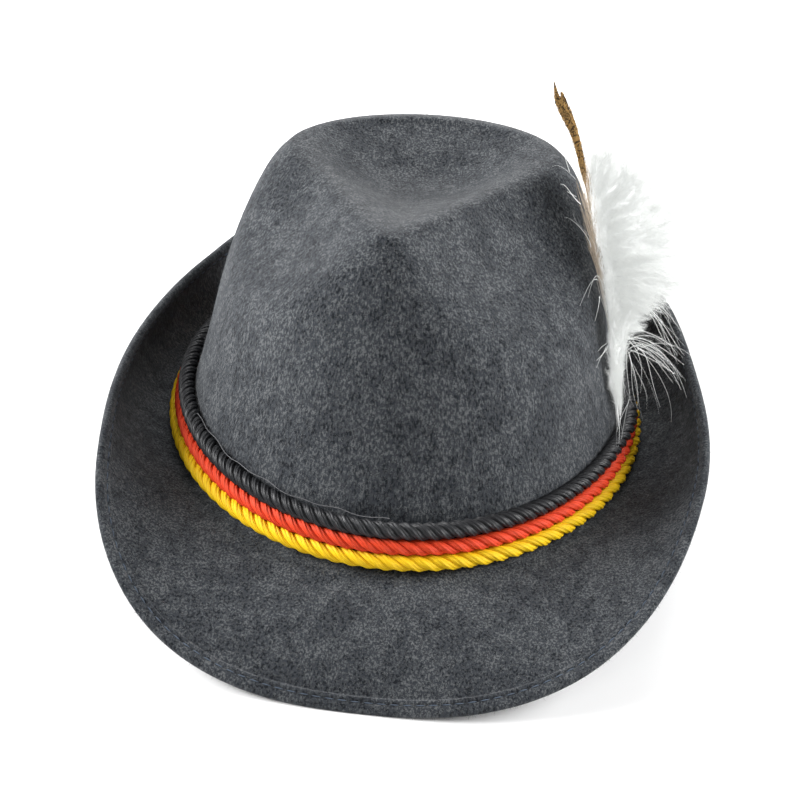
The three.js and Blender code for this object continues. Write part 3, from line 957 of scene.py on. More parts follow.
@dataclass
class FeltBody(Piece):
    """The felt: crown with its teardrop dent and pinches, brim with its turned hem, hollow underneath."""

    form: HatForm = field(default_factory=HatForm)
    round: int = 320
    crown_rows: int = 96
    brim_rows: int = 34
    inner_rows: int = 60
    hem_rise: float = 1.3
    edge_rows: int = 11
    edge_angle: float = 75
    corner: float = 0.7
    fibre_counts: tuple[int, int] = (62000, 14000)
    fibre_length: Span = (0.8, 2.5)
    fibre_width: Span = (0.024, 0.042)
    fibre_lift: Span = (0.12, 0.75)
    fibre_rise: float = 0.4
    fibre_root: float = 0.05
    stitch_inset: float = 4.5
    stitch_pitch: float = 4.6
    stitch_span: Span = (0.1, 0.84)
    stitch_depth: float = 0.5
    stitch_arch: float = 0.42
    stitch_radii: tuple = (0.04, 0.2, 0.24, 0.2, 0.04)
    finish: WoolFinish = WoolFinish("felt_wool", roughness=0.95, sheen=0.1, specular=0.1)
    fuzz_finish: WoolFinish = WoolFinish(
        "felt_fibres",
        sheen=0.1,
        specular=0.1,
        dark=(0.012, 0.013, 0.016),
        middle=(0.05, 0.053, 0.058),
        light=(0.26, 0.265, 0.27),
        scale=700,
        relief=0.0,
    )
    thread: YarnFinish = YarnFinish(
        "hem_thread",
        roughness=0.6,
        sheen=0.1,
        colour=(0.1, 0.135, 0.19),
        # painted shade in the grooves between the filaments
        shade=(0.04, 0.055, 0.08),
        lines=2,
        slant=0.4,
    )
    # inset from the edge and lift over the brim, from the foot of the hem to the round of its edge
    hem: tuple = (
        (6.95, 0.0),
        (6.65, 0.03),
        (6.45, 0.3),
        (6.35, 0.75),
        (6.2, 1.08),
        (5.9, 1.24),
        (5.3, 1.3),
        (4.85, 1.05),
        (4.5, 0.75),
        (4.15, 1.05),
        (3.6, 1.32),
        (2.8, 1.34),
        (2.2, 1.32),
    )
    # inset from the edge and lift over the underside
    seam: tuple = ((1.9, 0.0), (3.2, 0.0), (4.2, 0.04), (4.5, 0.22), (4.8, 0.04), (5.6, 0.0))

    def bearings(self) -> Array:
        """The bearings of the grid's columns."""
        return np.arange(self.round) / self.round * TURN

    def crown_grid(self) -> Pair:
        """Rows of the crown's outer face from the top down to the base, and of its inner face back up.

        Returns:
            The outer and the inner rows in millimetres.
        """
        b = self.bearings()[None, :]
        last = len(self.form.sections) - 1
        outer = np.linspace(last, 0, self.crown_rows + 1)[1:, None]
        inner = np.linspace(0, last, self.inner_rows + 1)[1:-1, None]
        inside = self.form.crown(b, inner) - self.form.crown_normal(b, inner) * self.form.felt
        return self.form.crown(b, outer), inside

    def brim_row(self, inset: Array | float, lift: float) -> Array:
        """One row of the brim, this far in from its edge and over its top face."""
        b = self.bearings()
        return self.form.brim_face(b, inset + 0 * b, lift + 0 * b)

    def brim_grid(self) -> Array:
        """Rows of the brim's top, its hem, the round edge and the underside, out and back again.

        The edge is a half circle as thick as the felt and its hem. The underside lies one thickness
        below the top and carries the same groove where the hem is sewn.

        Returns:
            (rows, columns, 3) points in millimetres.
        """
        whole, _, _ = self.form.brim_sizes(self.bearings())
        foot = self.hem[0][0]
        under = -self.form.felt
        insets = [whole - (whole - foot) * p for p in (np.arange(self.brim_rows) + 1) / self.brim_rows]
        top = [self.brim_row(i, 0.0) for i in insets]
        hem = [self.brim_row(i, h) for i, h in self.hem[1:]]
        half = (self.form.felt + self.hem_rise) / 2
        angles = np.radians(np.linspace(self.edge_angle, -self.edge_angle, self.edge_rows))
        edge = [
            self.brim_row(half * (1 - np.cos(a)), half * np.sin(a) + self.hem_rise - half)
            for a in angles
        ]
        seam = [self.brim_row(i, under + h) for i, h in self.seam]
        back = [self.brim_row(i, under) for i in insets[::-1]]
        return np.array([*top, *hem, *edge, *seam, *back])

    def rows(self) -> Array:
        """All rows of the closed skin, from the top of the dent to the same place inside.

        Returns:
            (rows, columns, 3) points in millimetres.
        """
        outer, inner = self.crown_grid()
        b = self.bearings()
        depth = self.corner * self.form.felt
        corner = self.form.crown(b, 0 * b) - self.form.outward(b) * depth - UP * depth
        return np.concatenate([outer, self.brim_grid(), corner[None], inner])

    def skin(self) -> Pair:
        """Points in metres and quads, each pole closed by quads that share its point.

        Returns:
            Points in metres and quads.
        """
        last = len(self.form.sections) - 1
        top = self.form.crown(np.zeros(1), np.full(1, float(last)))
        rows = self.rows()
        count = self.round
        points = np.concatenate([top, rows.reshape(-1, 3), top - UP * self.form.felt])
        faces = grid_faces(len(rows), count, False, True) + 1
        k = np.arange(0, count, 2)
        end = len(points) - 1
        foot = 1 + (len(rows) - 1) * count
        over = np.stack([0 * k, 1 + k, 1 + (k + 1) % count, 1 + (k + 2) % count], -1)
        under = np.stack([0 * k + end, foot + (k + 2) % count, foot + (k + 1) % count, foot + k], -1)
        return self.form.place(points), np.concatenate([faces, over, under])

    def fibres(self, count: int, seed: int, keep: slice) -> Pair:
        """Loose fibres as thin triangles, spread evenly by area over a span of the skin's rows.

        A fibre starts on a random cell, leans a little off the surface in a random direction and
        ends in a point.

        Args:
            count: number of fibres.
            seed: seed of the random numbers.
            keep: the rows that carry fibres.

        Returns:
            Points in metres and triangles.
        """
        rng = np.random.default_rng(seed)
        rows = self.rows()[keep]
        right = (np.roll(rows, -1, 1) - rows)[:-1]
        down = rows[1:] - rows[:-1]
        normal = np.cross(down, right)
        area = np.linalg.norm(normal, axis=-1).ravel()
        cell = rng.choice(area.size, count, p=area / area.sum())
        share = rng.random((2, count, 1))
        foot, right, down, out = [a.reshape(-1, 3)[cell] for a in (rows[:-1], right, down, normal)]
        start = foot + right * share[0] + down * share[1]
        out = unit(out)
        lie = rng.normal(size=(count, 3)) + UP * self.fibre_rise
        lie = unit(lie - out * np.sum(lie * out, -1, keepdims=True))
        way = unit(lie + out * rng.uniform(*self.fibre_lift, (count, 1)))
        length = rng.uniform(*self.fibre_length, (count, 1))
        wide = unit(np.cross(way, out)) * rng.uniform(*self.fibre_width, (count, 1))
        root = out * self.fibre_root
        points = np.stack([start - wide - root, start + wide - root, start + way * length], 1)
        return self.form.place(points.reshape(-1, 3)), np.arange(count * 3).reshape(-1, 3)

    def stitches(self) -> Pair:
        """Stitches in the hem's groove: short tubes that rise and dip along the seam.

        Returns:
            Points in metres and quads.
        """
        steps = len(self.stitch_radii)
        b = np.arange(4000) / 4000 * TURN
        line = self.form.brim_face(b, 0 * b + self.stitch_inset, 0 * b)
        run = np.concatenate([[0], np.cumsum(np.linalg.norm(np.diff(line, axis=0), axis=1))])
        count = int(run[-1] / self.stitch_pitch)
        places = (np.arange(count)[:, None] + np.linspace(*self.stitch_span, steps)) / count * run[-1]
        bearing = np.interp(places, run, b)
        arch = self.stitch_arch * np.sin(np.linspace(0, np.pi, steps))
        rise = self.hem_rise - self.stitch_depth + arch
        curves = self.form.brim_face(bearing, 0 * bearing + self.stitch_inset, 0 * bearing + rise)
        points, quads = tube_arrays(curves, np.broadcast_to(self.stitch_radii, (count, steps)), 6)
        return self.form.place(points), quads

    def build(self, heather: NodeTree, yarn: NodeTree) -> None:
        """Makes the felt, its loose fibres above and below, and its stitches.

        Args:
            heather: the group of the heather masks.
            yarn: the group of the filaments.
        """
        wool = self.finish.material(heather)
        fibre = self.fuzz_finish.material(heather)
        self.hand_in(solid_mesh("felt", *self.skin()), wool, ("felt_body",))
        shown = self.crown_rows + self.brim_rows + len(self.hem) + self.edge_rows + 1
        above, below = self.fibre_counts
        self.hand_in(solid_mesh("felt_fibres", *self.fibres(above, 3, slice(0, shown))), fibre)
        self.hand_in(solid_mesh("felt_fibres_under", *self.fibres(below, 5, slice(shown, None))), fibre)
        points, quads = self.stitches()
        uv = np.broadcast_to(np.array([[0, 0], [1, 0], [1, 1], [0, 1]], float), (len(quads), 4, 2))
        self.hand_in(solid_mesh("hem_stitches", points, quads, uv), self.thread.material(yarn))


@dataclass
class TwistedCord(Piece):
    """A cord of three plies laid round the crown."""

    node: str = ""
    above: float = 0.0
    cad_radius: float = 2.75
    radius: float = 3.0
    tucked: float = 0.0
    phase: float = 0.0
    finish: YarnFinish = YarnFinish("cord")
    form: HatForm = field(default_factory=HatForm)
    turns: int = 34
    steps: int = 900
    samples: int = 16
    ridges: int = 3
    groove: float = 0.17
    quill_bearing: float = 82
    quill_spread: float = 9
    quill_bulge: float = 1.5
    plies: int = 3
    ply_share: float = 0.6
    overlap: float = 0.02
    pattern: float = 5

    def centre(self, bearing: Array) -> Array:
        """Middle of the cord: against the felt at its height, and bulged over the quill behind it.

        Args:
            bearing: bearings in radians, from the front towards the wearer's left.

        Returns:
            (..., 3) points in millimetres.
        """
        away = (bearing - np.radians(self.quill_bearing)) / np.radians(self.quill_spread)
        bulge = self.tucked * self.quill_bulge * np.exp(-(away**2))
        height = self.form.cord_line(bearing) + self.above
        place = self.form.wall(bearing, height)
        place[..., 2] = height - self.form.saddle * np.cos(2 * bearing)
        out = self.cad_radius + self.form.gap + bulge
        return place + self.form.outward(bearing) * out[..., None]

    def profile(self) -> tuple[Array, Array, Array]:
        """Outline of three pressed round plies, as angle and radius, with a pattern coordinate.

        Each ply is a circle with a share of the cord's radius, grooved between its ridges by a share of
        its own radius times 1 - |sin|. It shows as far as the line where it meets the next ply, found by the
        law of sines.

        Returns:
            Angles, radii and pattern coordinates.
        """
        ply = self.ply_share * self.radius
        reach = self.radius - ply
        corner = np.pi / self.plies
        half = corner + np.arcsin(reach * np.sin(corner) / ply) - self.overlap
        local = np.linspace(-half, half, self.samples)
        wave = np.abs(np.sin(np.linspace(0, self.ridges, self.samples) * np.pi))
        grooved = ply * (1 - self.groove * (1 - wave))
        middles = np.arange(self.plies)[:, None] * TURN / self.plies
        x = reach * np.cos(middles) + grooved * np.cos(middles + local)
        y = reach * np.sin(middles) + grooved * np.sin(middles + local)
        v = np.arange(self.plies)[:, None] + (local + half) / (2 * half)
        return np.arctan2(y, x).ravel(), np.hypot(x, y).ravel(), v.ravel()

    def build(self, yarn: NodeTree) -> None:
        """Carries the outline round the crown, turning it once for each lay of the cord.

        Args:
            yarn: the group of the filaments.
        """
        bearing = np.arange(self.steps) / self.steps * TURN
        centre = self.centre(bearing)
        out = self.form.outward(bearing)
        angle, radius, v = self.profile()
        turned = angle[None, :] - (self.turns * bearing)[:, None] + self.phase
        reach = np.cos(turned)[..., None] * out[:, None] + np.sin(turned)[..., None] * UP
        points = centre[:, None] + reach * radius[None, :, None]
        gone = np.linalg.norm(np.diff(centre, axis=0, append=centre[:1]), axis=1)
        u = np.concatenate([[0], np.cumsum(gone)]) / self.pattern
        faces = grid_faces(self.steps, len(angle), True, True)
        uv = grid_uv(u, np.append(v, v[0] + self.plies))
        made = solid_mesh(self.name, self.form.place(points.reshape(-1, 3)), faces, uv)
        self.hand_in(made, self.finish.material(yarn), (self.node,))


@dataclass
class LooseThread(Piece):
    """A fine thread that has come loose and lies along the upper edge of the black cord."""

    form: HatForm = field(default_factory=HatForm)
    above: float = 14.4
    span: Span = (-64, 2)
    steps: int = 150
    step_length: float = 0.2
    bows: float = 3.2
    bow_height: float = 0.7
    ripples: float = 41
    ripple_height: float = 0.25
    away: float = 2.7
    drawn_in: float = 0.6
    radius: float = 0.16
    sides: int = 6
    finish: YarnFinish = YarnFinish(
        "loose_thread",
        roughness=0.5,
        sheen=0.0,
        specular=0.3,
        colour=(0.2, 0.2, 0.21),
        # painted shade in the grooves between the filaments
        shade=(0.08, 0.08, 0.085),
        lines=2,
        slant=0.3,
    )

    def build(self, yarn: NodeTree) -> None:
        """Carries a thin tube over the cord, bowed up between the places where it is caught.

        Args:
            yarn: the group of the filaments.
        """
        bearing = np.radians(np.linspace(*self.span, self.steps))
        share = np.linspace(0, 1, self.steps)
        arch = np.abs(np.sin(share * np.pi * self.bows)) * self.bow_height
        bow = arch + self.ripple_height * np.sin(share * self.ripples)
        height = self.form.cord_line(bearing) + self.above + bow
        away = (self.away - self.drawn_in * bow)[..., None]
        place = self.form.wall(bearing, height) + self.form.outward(bearing) * away
        points, quads = tube_arrays(place[None], np.full((1, self.steps), self.radius), self.sides)
        u = np.repeat(np.arange(self.steps) * self.step_length, self.sides)
        uv = np.stack([u[quads], np.broadcast_to(np.array([0.0, 0, 1, 1]), quads.shape)], -1)
        made = solid_mesh(self.name, self.form.place(points), quads, uv)
        self.hand_in(made, self.finish.material(yarn))


@dataclass
class Plume(Piece):
    """A white down plume: barbs that fan out from a quill, each one fringed with fine barbules."""

    form: HatForm = field(default_factory=HatForm)
    finish: DownFinish = DownFinish("white_down", roughness=0.95, sheen=0.2, specular=0.1)
    bearing: float = 82
    clumps: int = 60
    clump_lean: float = 0.35
    barb_steps: int = 11
    wisp_steps: int = 15
    fullest: float = 1.2
    shortened: float = 0.55
    shortening: float = 2.4
    barbule_start: float = 0.12
    barbule_tilt: Span = (0.6, 1.1)
    barbule_girth: Span = (0.016, 0.03)
    # share of the fan, height of the root, height of the tip, distance of the tip from the felt,
    # middle turn and spread of the turn
    fan: tuple = (
        (0.0, 108, 118.5, 8.5, 9, 3),
        (0.08, 105, 120, 14, 9, 5),
        (0.18, 100, 116.5, 20, 9, 7),
        (0.3, 94, 111.5, 26.5, 9, 9),
        (0.42, 88, 104.5, 31.5, 8, 11),
        (0.54, 83, 95, 35, 7, 12),
        (0.66, 78, 85, 35.5, 6, 12),
        (0.78, 73, 75, 34, 5, 10),
        (0.86, 71, 71.5, 29.5, 4, 7),
        (0.93, 66, 67, 19.5, 3, 6),
        (1.0, 54, 54, 12, 2, 5),
    )
    # short barbs that stand close to the quill: the same columns
    mantle: tuple = (
        (0.0, 24, 38, 3, -3.5, 2),
        (0.2, 36, 50, 5, -3.5, 3),
        (0.4, 52, 66, 8, -3, 4),
        (0.6, 68, 83, 11, -1.5, 4.5),
        (0.8, 84, 100, 13, 1, 4.5),
        (1.0, 98, 113, 11, 5, 4),
    )
    # the tuft over the quill: the same columns
    tuft: tuple = (
        (0.0, 22, 36, 2.7, -1, 1.5),
        (0.3, 29, 44, 5, -2, 4),
        (0.6, 37, 52, 8, -1, 6),
        (0.8, 44, 60, 11, 0, 8),
        (1.0, 54, 68, 15, 2, 9),
    )
    # height along the quill and its distance from the felt
    stem: tuple = ((13.6, 0.8), (20, 1.2), (40, 2.6), (58, 2.9), (70, 4), (84, 6.5), (104, 7.6), (110, 7.8))
    # height along the quill and its radius, and height and its turn
    stem_girth: tuple = ((13.6, 0.3), (20, 0.5), (60, 0.45), (108, 0.12))
    stem_turn: tuple = ((20, 0), (108, 4))
    # scatter of a loose barb's root and tip, each up, out and turn
    jitter: tuple = (2.2, 0.8, 1.0, 3.2, 1.8, 1.6)
    # loose barbs: root up, out, turn, tip up, out, turn, rise of the arch, number, barbule length
    wisps: tuple = (
        (69, 14, 1, 53.5, 30, 0, 6, 7, 2.2),
        (67, 13, 0, 57, 25, 1, 5, 5, 2.4),
        (65, 16, 2, 60, 29, 2, 4, 4, 2.2),
        (52, 11, 0, 45, 29.5, 0, 5, 6, 2.4),
        (51, 10, 0, 41, 25, 1, 4, 6, 2.4),
        (50, 10, 0, 36, 29.5, 0, 6, 4, 1.6),
        (50, 11, 0, 21, 20.5, 1, 4, 3, 1.0),
        (51, 10, 0, 22, 13.5, 1, 3, 3, 1.0),
        (47, 9, -1, 25, 8.4, -2, 2, 3, 0.8),
        (58, 7, -2, 29, 10, -4, 2, 3, 0.5),
        (30, 8, -4, 13, 5.5, -9, 1, 2, 0.0),
        (24, 2.5, -2, 13.5, 5.2, -11, 1, 3, 0.0),
        (26, 2.5, -2, 15, 5.0, -13, 2, 3, 0.0),
        (119, 9.5, -5, 128, 9.5, -10, 1, 2, 0.3),
        (111, 9.5, -5, 119, 9.2, -12, 1, 2, 0.4),
        (88, 8.5, -4, 109, 9.5, -14, 1, 2, 0.3),
        (75, 6, -4, 74, 4.7, -12, 4, 3, 0.4),
        (52.5, 4, -5, 52, 2.2, -13, 1, 3, 0.5),
    )

    def at(self, up: Array, out: Array, turn: Array) -> Array:
        """Places beside the crown, turn degrees behind the quill's bearing."""
        return self.form.beside(np.radians(self.bearing + turn), up, out)

    def barbs(self, rng: Rng, table: tuple, count: int, low: float, high: float) -> Array:
        """Curves of the barbs, from the quill to their tips.

        Each one takes a share of the table. It leaves the quill up and outwards and bends to its tip,
        which is drawn towards its clump, spread round the crown, and made shorter or longer at random
        so that the fan is filled.

        Args:
            rng: source of the random numbers.
            table: the fan, the mantle or the tuft.
            count: number of barbs.
            low: first share of the table.
            high: last share of the table.

        Returns:
            (count, steps, 3) points.
        """
        share = np.sort(rng.uniform(low, high, count))
        clump = (share * self.clumps).astype(int) % self.clumps
        lean = rng.normal(0, self.clump_lean, (self.clumps, 3))[clump]
        root_up, tip_up, tip_out, middle, spread = np.moveaxis(by_height(np.array(table), share), -1, 0)
        root_up = root_up + rng.normal(0, 3, count)
        side = (rng.normal(0, 0.42, count) + 0.4 * lean[:, 0]).clip(-1, 1)
        fill = self.fullest - self.shortened * rng.random(count) ** self.shortening
        fill = fill * np.sqrt(1 - 0.35 * side**2)
        away = np.interp(root_up, *np.array(self.stem).T) + rng.random(count) * 2 - 0.4
        root = self.at(root_up, away, middle * 0.35 + side * 1.8)
        tip_up = tip_up + rng.normal(0, 1.2, count) + lean[:, 1] * 1.6
        tip = self.at(tip_up, tip_out + rng.normal(0, 0.8, count) + lean[:, 2], middle + side * spread)
        tip = root + (tip - root) * fill[:, None]
        length = np.linalg.norm(tip - root, axis=1, keepdims=True)
        out = self.form.outward(np.radians(self.bearing) + 0 * share)
        lift = unit(out * 0.8 + UP * 0.9)
        first = root + unit(tip - root + lift * length * 0.6) * length * 0.36
        second = root + (tip - root) * 0.7 + UP * length * 0.08 + rng.normal(0, 0.035, (count, 3)) * length
        return bezier(root, first, second, tip, self.barb_steps)

    def loose(self, rng: Rng) -> Pair:
        """Curves of the loose barbs and the barbule length of each.

        Every row of the table gives its number of barbs, with places jittered by a millimetre or two,
        and each arches up by its rise before it falls to its tip.

        Args:
            rng: source of the random numbers.

        Returns:
            (count, steps, 3) curves and the lengths in millimetres.
        """
        table = np.array(self.wisps, dtype=float)
        rows = np.repeat(table, table[:, 7].astype(int), axis=0)
        jitter = rng.normal(0, 1, (len(rows), 6)) * np.array(self.jitter)
        rows[:, :6] += jitter
        rows[:, [1, 4]] = np.maximum(rows[:, [1, 4]], 0.8)
        root = self.at(rows[:, 0], rows[:, 1], rows[:, 2])
        tip = self.at(rows[:, 3], rows[:, 4], rows[:, 5])
        rise = UP * rows[:, 6:7] * rng.uniform(0.4, 2.2, (len(rows), 1))
        wave = rng.normal(0, 0.07, (2, len(rows), 3)) * np.linalg.norm(tip - root, axis=1)[:, None]
        first = root + (tip - root) * 0.35 + rise + wave[0]
        second = root + (tip - root) * 0.72 + rise + wave[1]
        return bezier(root, first, second, tip, self.wisp_steps), rows[:, 8]

    def downy(
        self, rng: Rng, curves: Array, each: int, longest: Array, girth: float
    ) -> Pair:
        """Barbs as ribbons and their barbules as single thin triangles.

        Barbules leave at about 50 degrees all round the barb, longest a little below its middle and
        short at the tip.

        Args:
            rng: source of the random numbers.
            curves: (count, steps, 3) barbs.
            each: barbules on a barb.
            longest: length of each barb's longest barbule.
            girth: width of a barb at its root.

        Returns:
            Points in metres and triangles.
        """
        count, steps, _ = curves.shape
        ahead = unit(np.gradient(curves, axis=1))
        across = unit(np.cross(ahead, rng.normal(size=(count, 1, 3))))
        widths = np.broadcast_to(girth * np.linspace(1, 0.25, steps), (count, steps))
        points, quads = ribbon_arrays(curves, widths, across)
        faces = np.concatenate([quads[:, [0, 1, 2]], quads[:, [0, 2, 3]]])
        place = (np.arange(each) + rng.random((count, each))) / each
        place = self.barbule_start + (1 - self.barbule_start) * place
        row = np.minimum((place * (steps - 1)).astype(int), steps - 2)
        part = (place * (steps - 1) - row)[..., None]
        pick = np.arange(count)[:, None]
        start = curves[pick, row] * (1 - part) + curves[pick, row + 1] * part
        way = ahead[pick, row]
        side = unit(np.cross(way, rng.normal(size=(count, each, 3))))
        tilt = rng.uniform(*self.barbule_tilt, (count, each, 1))
        length = longest[:, None] * (0.3 + 0.7 * np.sin(np.pi * (0.15 + 0.8 * place)))
        length = length * rng.uniform(0.5, 1.0, (count, each))
        tip = start + (way * np.cos(tilt) + side * np.sin(tilt)) * length[..., None]
        base = unit(np.cross(side, way)) * rng.uniform(*self.barbule_girth, (count, each, 1))
        fringe = np.stack([start - base, start + base, tip], 2).reshape(-1, 3)
        extra = len(points) + np.arange(count * each * 3).reshape(-1, 3)
        return self.form.place(np.concatenate([points, fringe])), np.concatenate([faces, extra])

    def quill(self) -> Pair:
        """The quill: a thin tube that follows the felt from behind the black cord to near the top.

        Returns:
            Points in metres and quads.
        """
        up = np.linspace(self.stem_girth[0][0], self.stem_girth[-1][0], 40)
        tables = (self.stem_girth, self.stem, self.stem_turn)
        radius, out, turn = [np.interp(up, *np.array(t).T) for t in tables]
        curve = self.at(up, out, turn)
        points, quads = tube_arrays(curve[None], radius[None], 10)
        return self.form.place(points), quads

    def build(self, heather: NodeTree) -> None:
        """Makes the down in pieces of under 200,000 triangles, the loose barbs and the quill.

        Args:
            heather: the group of the heather masks.
        """
        # the down's material carries a painted glow; the loose barbs and the quill share it
        white = self.finish.material(heather)
        parts = (
            ("plume_down_upper", self.fan, 0.0, 0.55, 600, 270, 5.2, 11),
            ("plume_down_lower", self.fan, 0.45, 1.0, 480, 270, 5.2, 12),
            ("plume_mantle", self.mantle, 0.0, 1.0, 340, 220, 3.8, 13),
            ("plume_tuft", self.tuft, 0.0, 1.0, 230, 150, 2.7, 14),
        )
        for name, table, low, high, count, each, longest, seed in parts:
            rng = np.random.default_rng(seed)
            curves = self.barbs(rng, table, count, low, high)
            made = solid_mesh(name, *self.downy(rng, curves, each, np.full(count, longest), 0.1))
            self.hand_in(made, white, ("plume_white",) if name == "plume_down_upper" else ())
        rng = np.random.default_rng(15)
        curves, fringe = self.loose(rng)
        self.hand_in(solid_mesh("plume_wisps", *self.downy(rng, curves, 150, fringe, 0.25)), white)
        self.hand_in(solid_mesh("plume_quill", *self.quill()), white)


@dataclass
class Feather(Piece):
    """The brown feather: a shaft with narrow vanes, a forked tip and loose strands lower down."""

    form: HatForm = field(default_factory=HatForm)
    finish: BandedFinish = BandedFinish("brown_feather", roughness=0.7, sheen=0.2, specular=0.3)
    bearing: float = 82
    height: float = 153
    right_prong: float = 143.5
    left_prong: float = 147.5
    prong_scatter: float = 2.2
    steps: int = 8
    # height along the shaft and its radius
    stem: tuple = ((13.6, 0.3), (20, 0.5), (80, 0.4), (143, 0.12))
    # up, out, turn, half width
    line: tuple = (
        (13.6, 0.75, 1, 0.1),
        (20, 1.1, 1, 0.15),
        (40, 2.4, 1, 0.3),
        (58, 2.7, 0, 0.7),
        (70, 3.7, -1.5, 1.1),
        (84, 6.2, -0.5, 1.2),
        (104, 7.2, 1.5, 1.9),
        (113, 7.1, 3, 1.8),
        (121, 7.0, 4, 1.2),
        (126.5, 6.6, 5, 1.3),
        (132, 5.7, 6, 1.8),
        (136.5, 4.4, 7, 2.3),
        (141, 3.1, 8, 2.5),
        (144.5, 2.6, 8.5, 1.8),
        (149.5, 2.4, 9, 0.7),
    )

    def shaft(self, up: Array, out: Array) -> Array:
        """Points of the shaft at heights, moved off the felt by out.

        Args:
            up: heights above the crown's base in millimetres.
            out: distances out from the shaft's own line.

        Returns:
            (..., 3) points in millimetres.
        """
        low = self.line[0][0]
        high = self.line[-1][0]
        rest, turn, _ = np.moveaxis(by_height(np.array(self.line), np.clip(up, low, high)), -1, 0)
        return self.form.beside(np.radians(self.bearing + turn), up, rest + out)

    def fold(self) -> Array:
        """The level direction round the crown at the feather."""
        return np.cross(UP, self.form.outward(np.array([np.radians(self.bearing)])))[0]

    def vane(self, rng: Rng, side: Side, part: VanePart) -> Pair:
        """Barbs of one vane: each leaves the shaft and runs up beside it to the vane's edge.

        Args:
            rng: source of the random numbers.
            side: towards the crown or away from it.
            part: the dense upper vane or the loose strands.

        Returns:
            Curves (count, steps, 3) and their heights as a share of the feather (count, steps).
        """
        low, high, count, shortest, longest, least, most, _ = part.value
        root = np.sort(rng.uniform(low, high, count))[:, None]
        reach = rng.uniform(shortest, longest, (count, 1))
        step = np.linspace(0, 1, self.steps)[None]
        prong = self.right_prong if side is Side.RIGHT else self.left_prong
        top = prong + rng.random((count, 1)) * self.prong_scatter
        up = np.minimum(root + reach * step, top)
        wide = by_height(np.array(self.line), up)[..., 2]
        lie = wide * step**0.8 * side.value * rng.uniform(least, most, (count, 1))
        points = self.shaft(up, lie)
        fold = self.fold()
        curled = points - fold * (0.35 * wide * step**2)[..., None]
        return curled + fold * rng.normal(0, 0.12, (count, 1, 1)), up / self.height

    def build(self, heather: NodeTree) -> None:
        """Makes the shaft, the dense upper vanes and the loose lower strands as one piece.

        Args:
            heather: the group of the heather masks.
        """
        rng = np.random.default_rng(21)
        brown = self.finish.material(heather)
        curves, shares, girths = [], [], []
        for side in Side:
            for part in VanePart:
                made, share = self.vane(rng, side, part)
                curves.append(made)
                shares.append(share)
                girths.append(np.full(share.shape, part.value.girth))
        line = np.concatenate(curves)
        share = np.concatenate(shares)
        ahead = unit(np.gradient(line, axis=1))
        across = unit(np.cross(ahead, self.fold() + rng.normal(0, 0.3, (len(line), 1, 3))))
        widths = np.concatenate(girths) * np.linspace(1, 0.35, self.steps)
        points, quads = ribbon_arrays(line, widths, across)
        u = np.repeat(share.ravel(), 2)
        uv = np.stack([u[quads], np.broadcast_to(np.array([0.0, 1, 1, 0]), quads.shape)], -1)
        up = np.linspace(self.stem[0][0], self.stem[-1][0], 60)
        stem = self.shaft(up, 0 * up)
        radius = np.interp(up, *np.array(self.stem).T)
        sides = 8
        tube, rings = tube_arrays(stem[None], radius[None], sides)
        height = np.repeat(up / self.height, sides)
        tube_uv = np.stack([height[rings], 0 * height[rings]], -1)
        faces = np.concatenate([quads, rings + len(points)])
        corners = self.form.place(np.concatenate([points, tube]))
        made = solid_mesh("feather", corners, faces, np.concatenate([uv, tube_uv]))
        self.hand_in(made, brown, ("feather_brown",))


# Stage


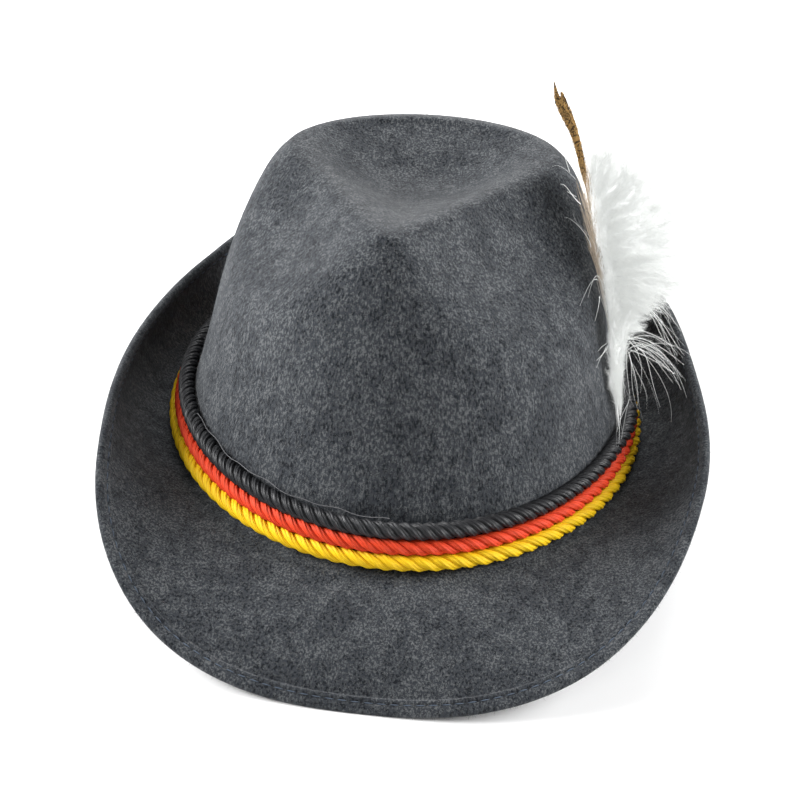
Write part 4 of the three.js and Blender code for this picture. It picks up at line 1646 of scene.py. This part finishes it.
@dataclass
class Studio:
    """Floor, soft lights, world and the camera at the photograph's angle."""

    azimuth: float = 4.208
    elevation: float = 38.662
    roll: float = 2.776
    distance: float = 0.9597
    aim: tuple[float, float, float] = (-0.00604, 0.0, 0.03117)
    lens: float = 109.81
    sensor: float = 36
    lamp_distance: float = 2
    lamp_height: float = 0.05
    world_light: float = 0.14
    floor_half: float = 4
    # name, direction from the hat, side of the square, watts
    lamps: tuple = (
        ("left_light", (-1.0, 0.0, 0.5), 1.2, 92),
        ("right_light", (1.0, 0.15, 0.5), 1.2, 73),
        ("back_light", (0.0, 0.9, 0.8), 1.2, 22),
        ("front_light", (0.0, -0.8, 0.9), 1.2, 6),
    )

    def camera(self) -> None:
        """Places the camera on its bearing round the aim point and rolls it about its own axis."""
        az, el, roll = np.radians([self.azimuth, self.elevation, self.roll])
        back = np.array([np.sin(az) * np.cos(el), -np.cos(az) * np.cos(el), np.sin(el)])
        right = np.array([np.cos(az), np.sin(az), 0])
        up = np.cross(back, right)
        x = np.cos(roll) * right + np.sin(roll) * up
        y = -np.sin(roll) * right + np.cos(roll) * up
        data = bpy.data.cameras.new("camera")
        data.lens = self.lens
        data.sensor_width = self.sensor
        camera = bpy.data.objects.new("camera", data)
        turned = Matrix([x, y, back]).transposed().to_4x4()
        stand = Vector(np.array(self.aim) + back * self.distance)
        camera.matrix_world = Matrix.Translation(stand) @ turned
        bpy.context.scene.collection.objects.link(camera)
        bpy.context.scene.camera = camera

    def light(self) -> None:
        """Square soft lights two metres away, turned to the hat, and an even white world."""
        for name, way, side, watts in self.lamps:
            data = bpy.data.lights.new(name, "AREA")
            data.size = side
            data.energy = watts
            lamp = bpy.data.objects.new(name, data)
            direction = Vector(way).normalized()
            turn = direction.to_track_quat("Z", "Y").to_matrix().to_4x4()
            stand = direction * self.lamp_distance + Vector((0, 0, self.lamp_height))
            lamp.matrix_world = Matrix.Translation(stand) @ turn
            bpy.context.scene.collection.objects.link(lamp)
        world = bpy.data.worlds.new("world")
        world.use_nodes = True
        shade = world.node_tree.nodes["Background"]
        shade.inputs["Color"].default_value = (1, 1, 1, 1)
        shade.inputs["Strength"].default_value = self.world_light
        bpy.context.scene.world = world
        bpy.context.scene.view_settings.view_transform = "Standard"

    def floor(self) -> None:
        """A plain pale floor."""
        line = np.linspace(-self.floor_half, self.floor_half, 3)
        x, y = np.meshgrid(line, line, indexing="ij")
        points = np.stack([x, y, 0 * x], -1).reshape(-1, 3)
        made = solid_mesh("floor", points, grid_faces(3, 3, False, False))
        material = bpy.data.materials.new("pale_floor")
        material.use_nodes = True
        shader = material.node_tree.nodes["Principled BSDF"]
        shader.inputs["Base Color"].default_value = (0.92, 0.92, 0.92, 1)
        shader.inputs["Roughness"].default_value = 0.9
        made.data.materials.append(material)

    def build(self) -> None:
        """Makes the whole stage."""
        self.camera()
        self.light()
        self.floor()


def main() -> None:
    """Builds the stage and the hat's pieces."""
    logging.basicConfig(level=logging.INFO, format="%(message)s")
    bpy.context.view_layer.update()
    heather = Heather().group()
    yarn = Filaments().group()
    Studio().build()
    FeltBody("felt", "felt").build(heather, yarn)
    # each cord's second colour is a darker copy of the first, painted into the grooves between filaments as
    # shade
    yellow = YarnFinish("yellow_cord", 0.55, 0.0, 0.25, (0.95, 0.68, 0.008), (0.62, 0.27, 0.002))
    red = YarnFinish("red_cord", 0.55, 0.0, 0.25, (0.86, 0.075, 0.018), (0.36, 0.012, 0.006))
    black = YarnFinish("black_cord", 0.45, 0.0, 0.45, (0.022, 0.023, 0.026), (0.004, 0.004, 0.005))
    cords = (
        TwistedCord("yellow_cord", "cord_yellow", "cord_yellow", 0, 2.75, 3.2, 0, 0.0, yellow, turns=31),
        TwistedCord("red_cord", "cord_red", "cord_red", 5.5, 2.65, 3.05, 0, 0.9, red),
        TwistedCord(
            "black_cord", "cord_black", "cord_black", 11.3, 2.85, 3.4, 1, 1.7, black, turns=39, groove=0.24
        ),
    )
    for cord in cords:
        cord.build(yarn)
    LooseThread("loose_thread", "cord_black").build(yarn)
    Plume("plume", "down").build(heather)
    Feather("feather", "feather").build(heather)


if __name__ == "__main__":
    main()
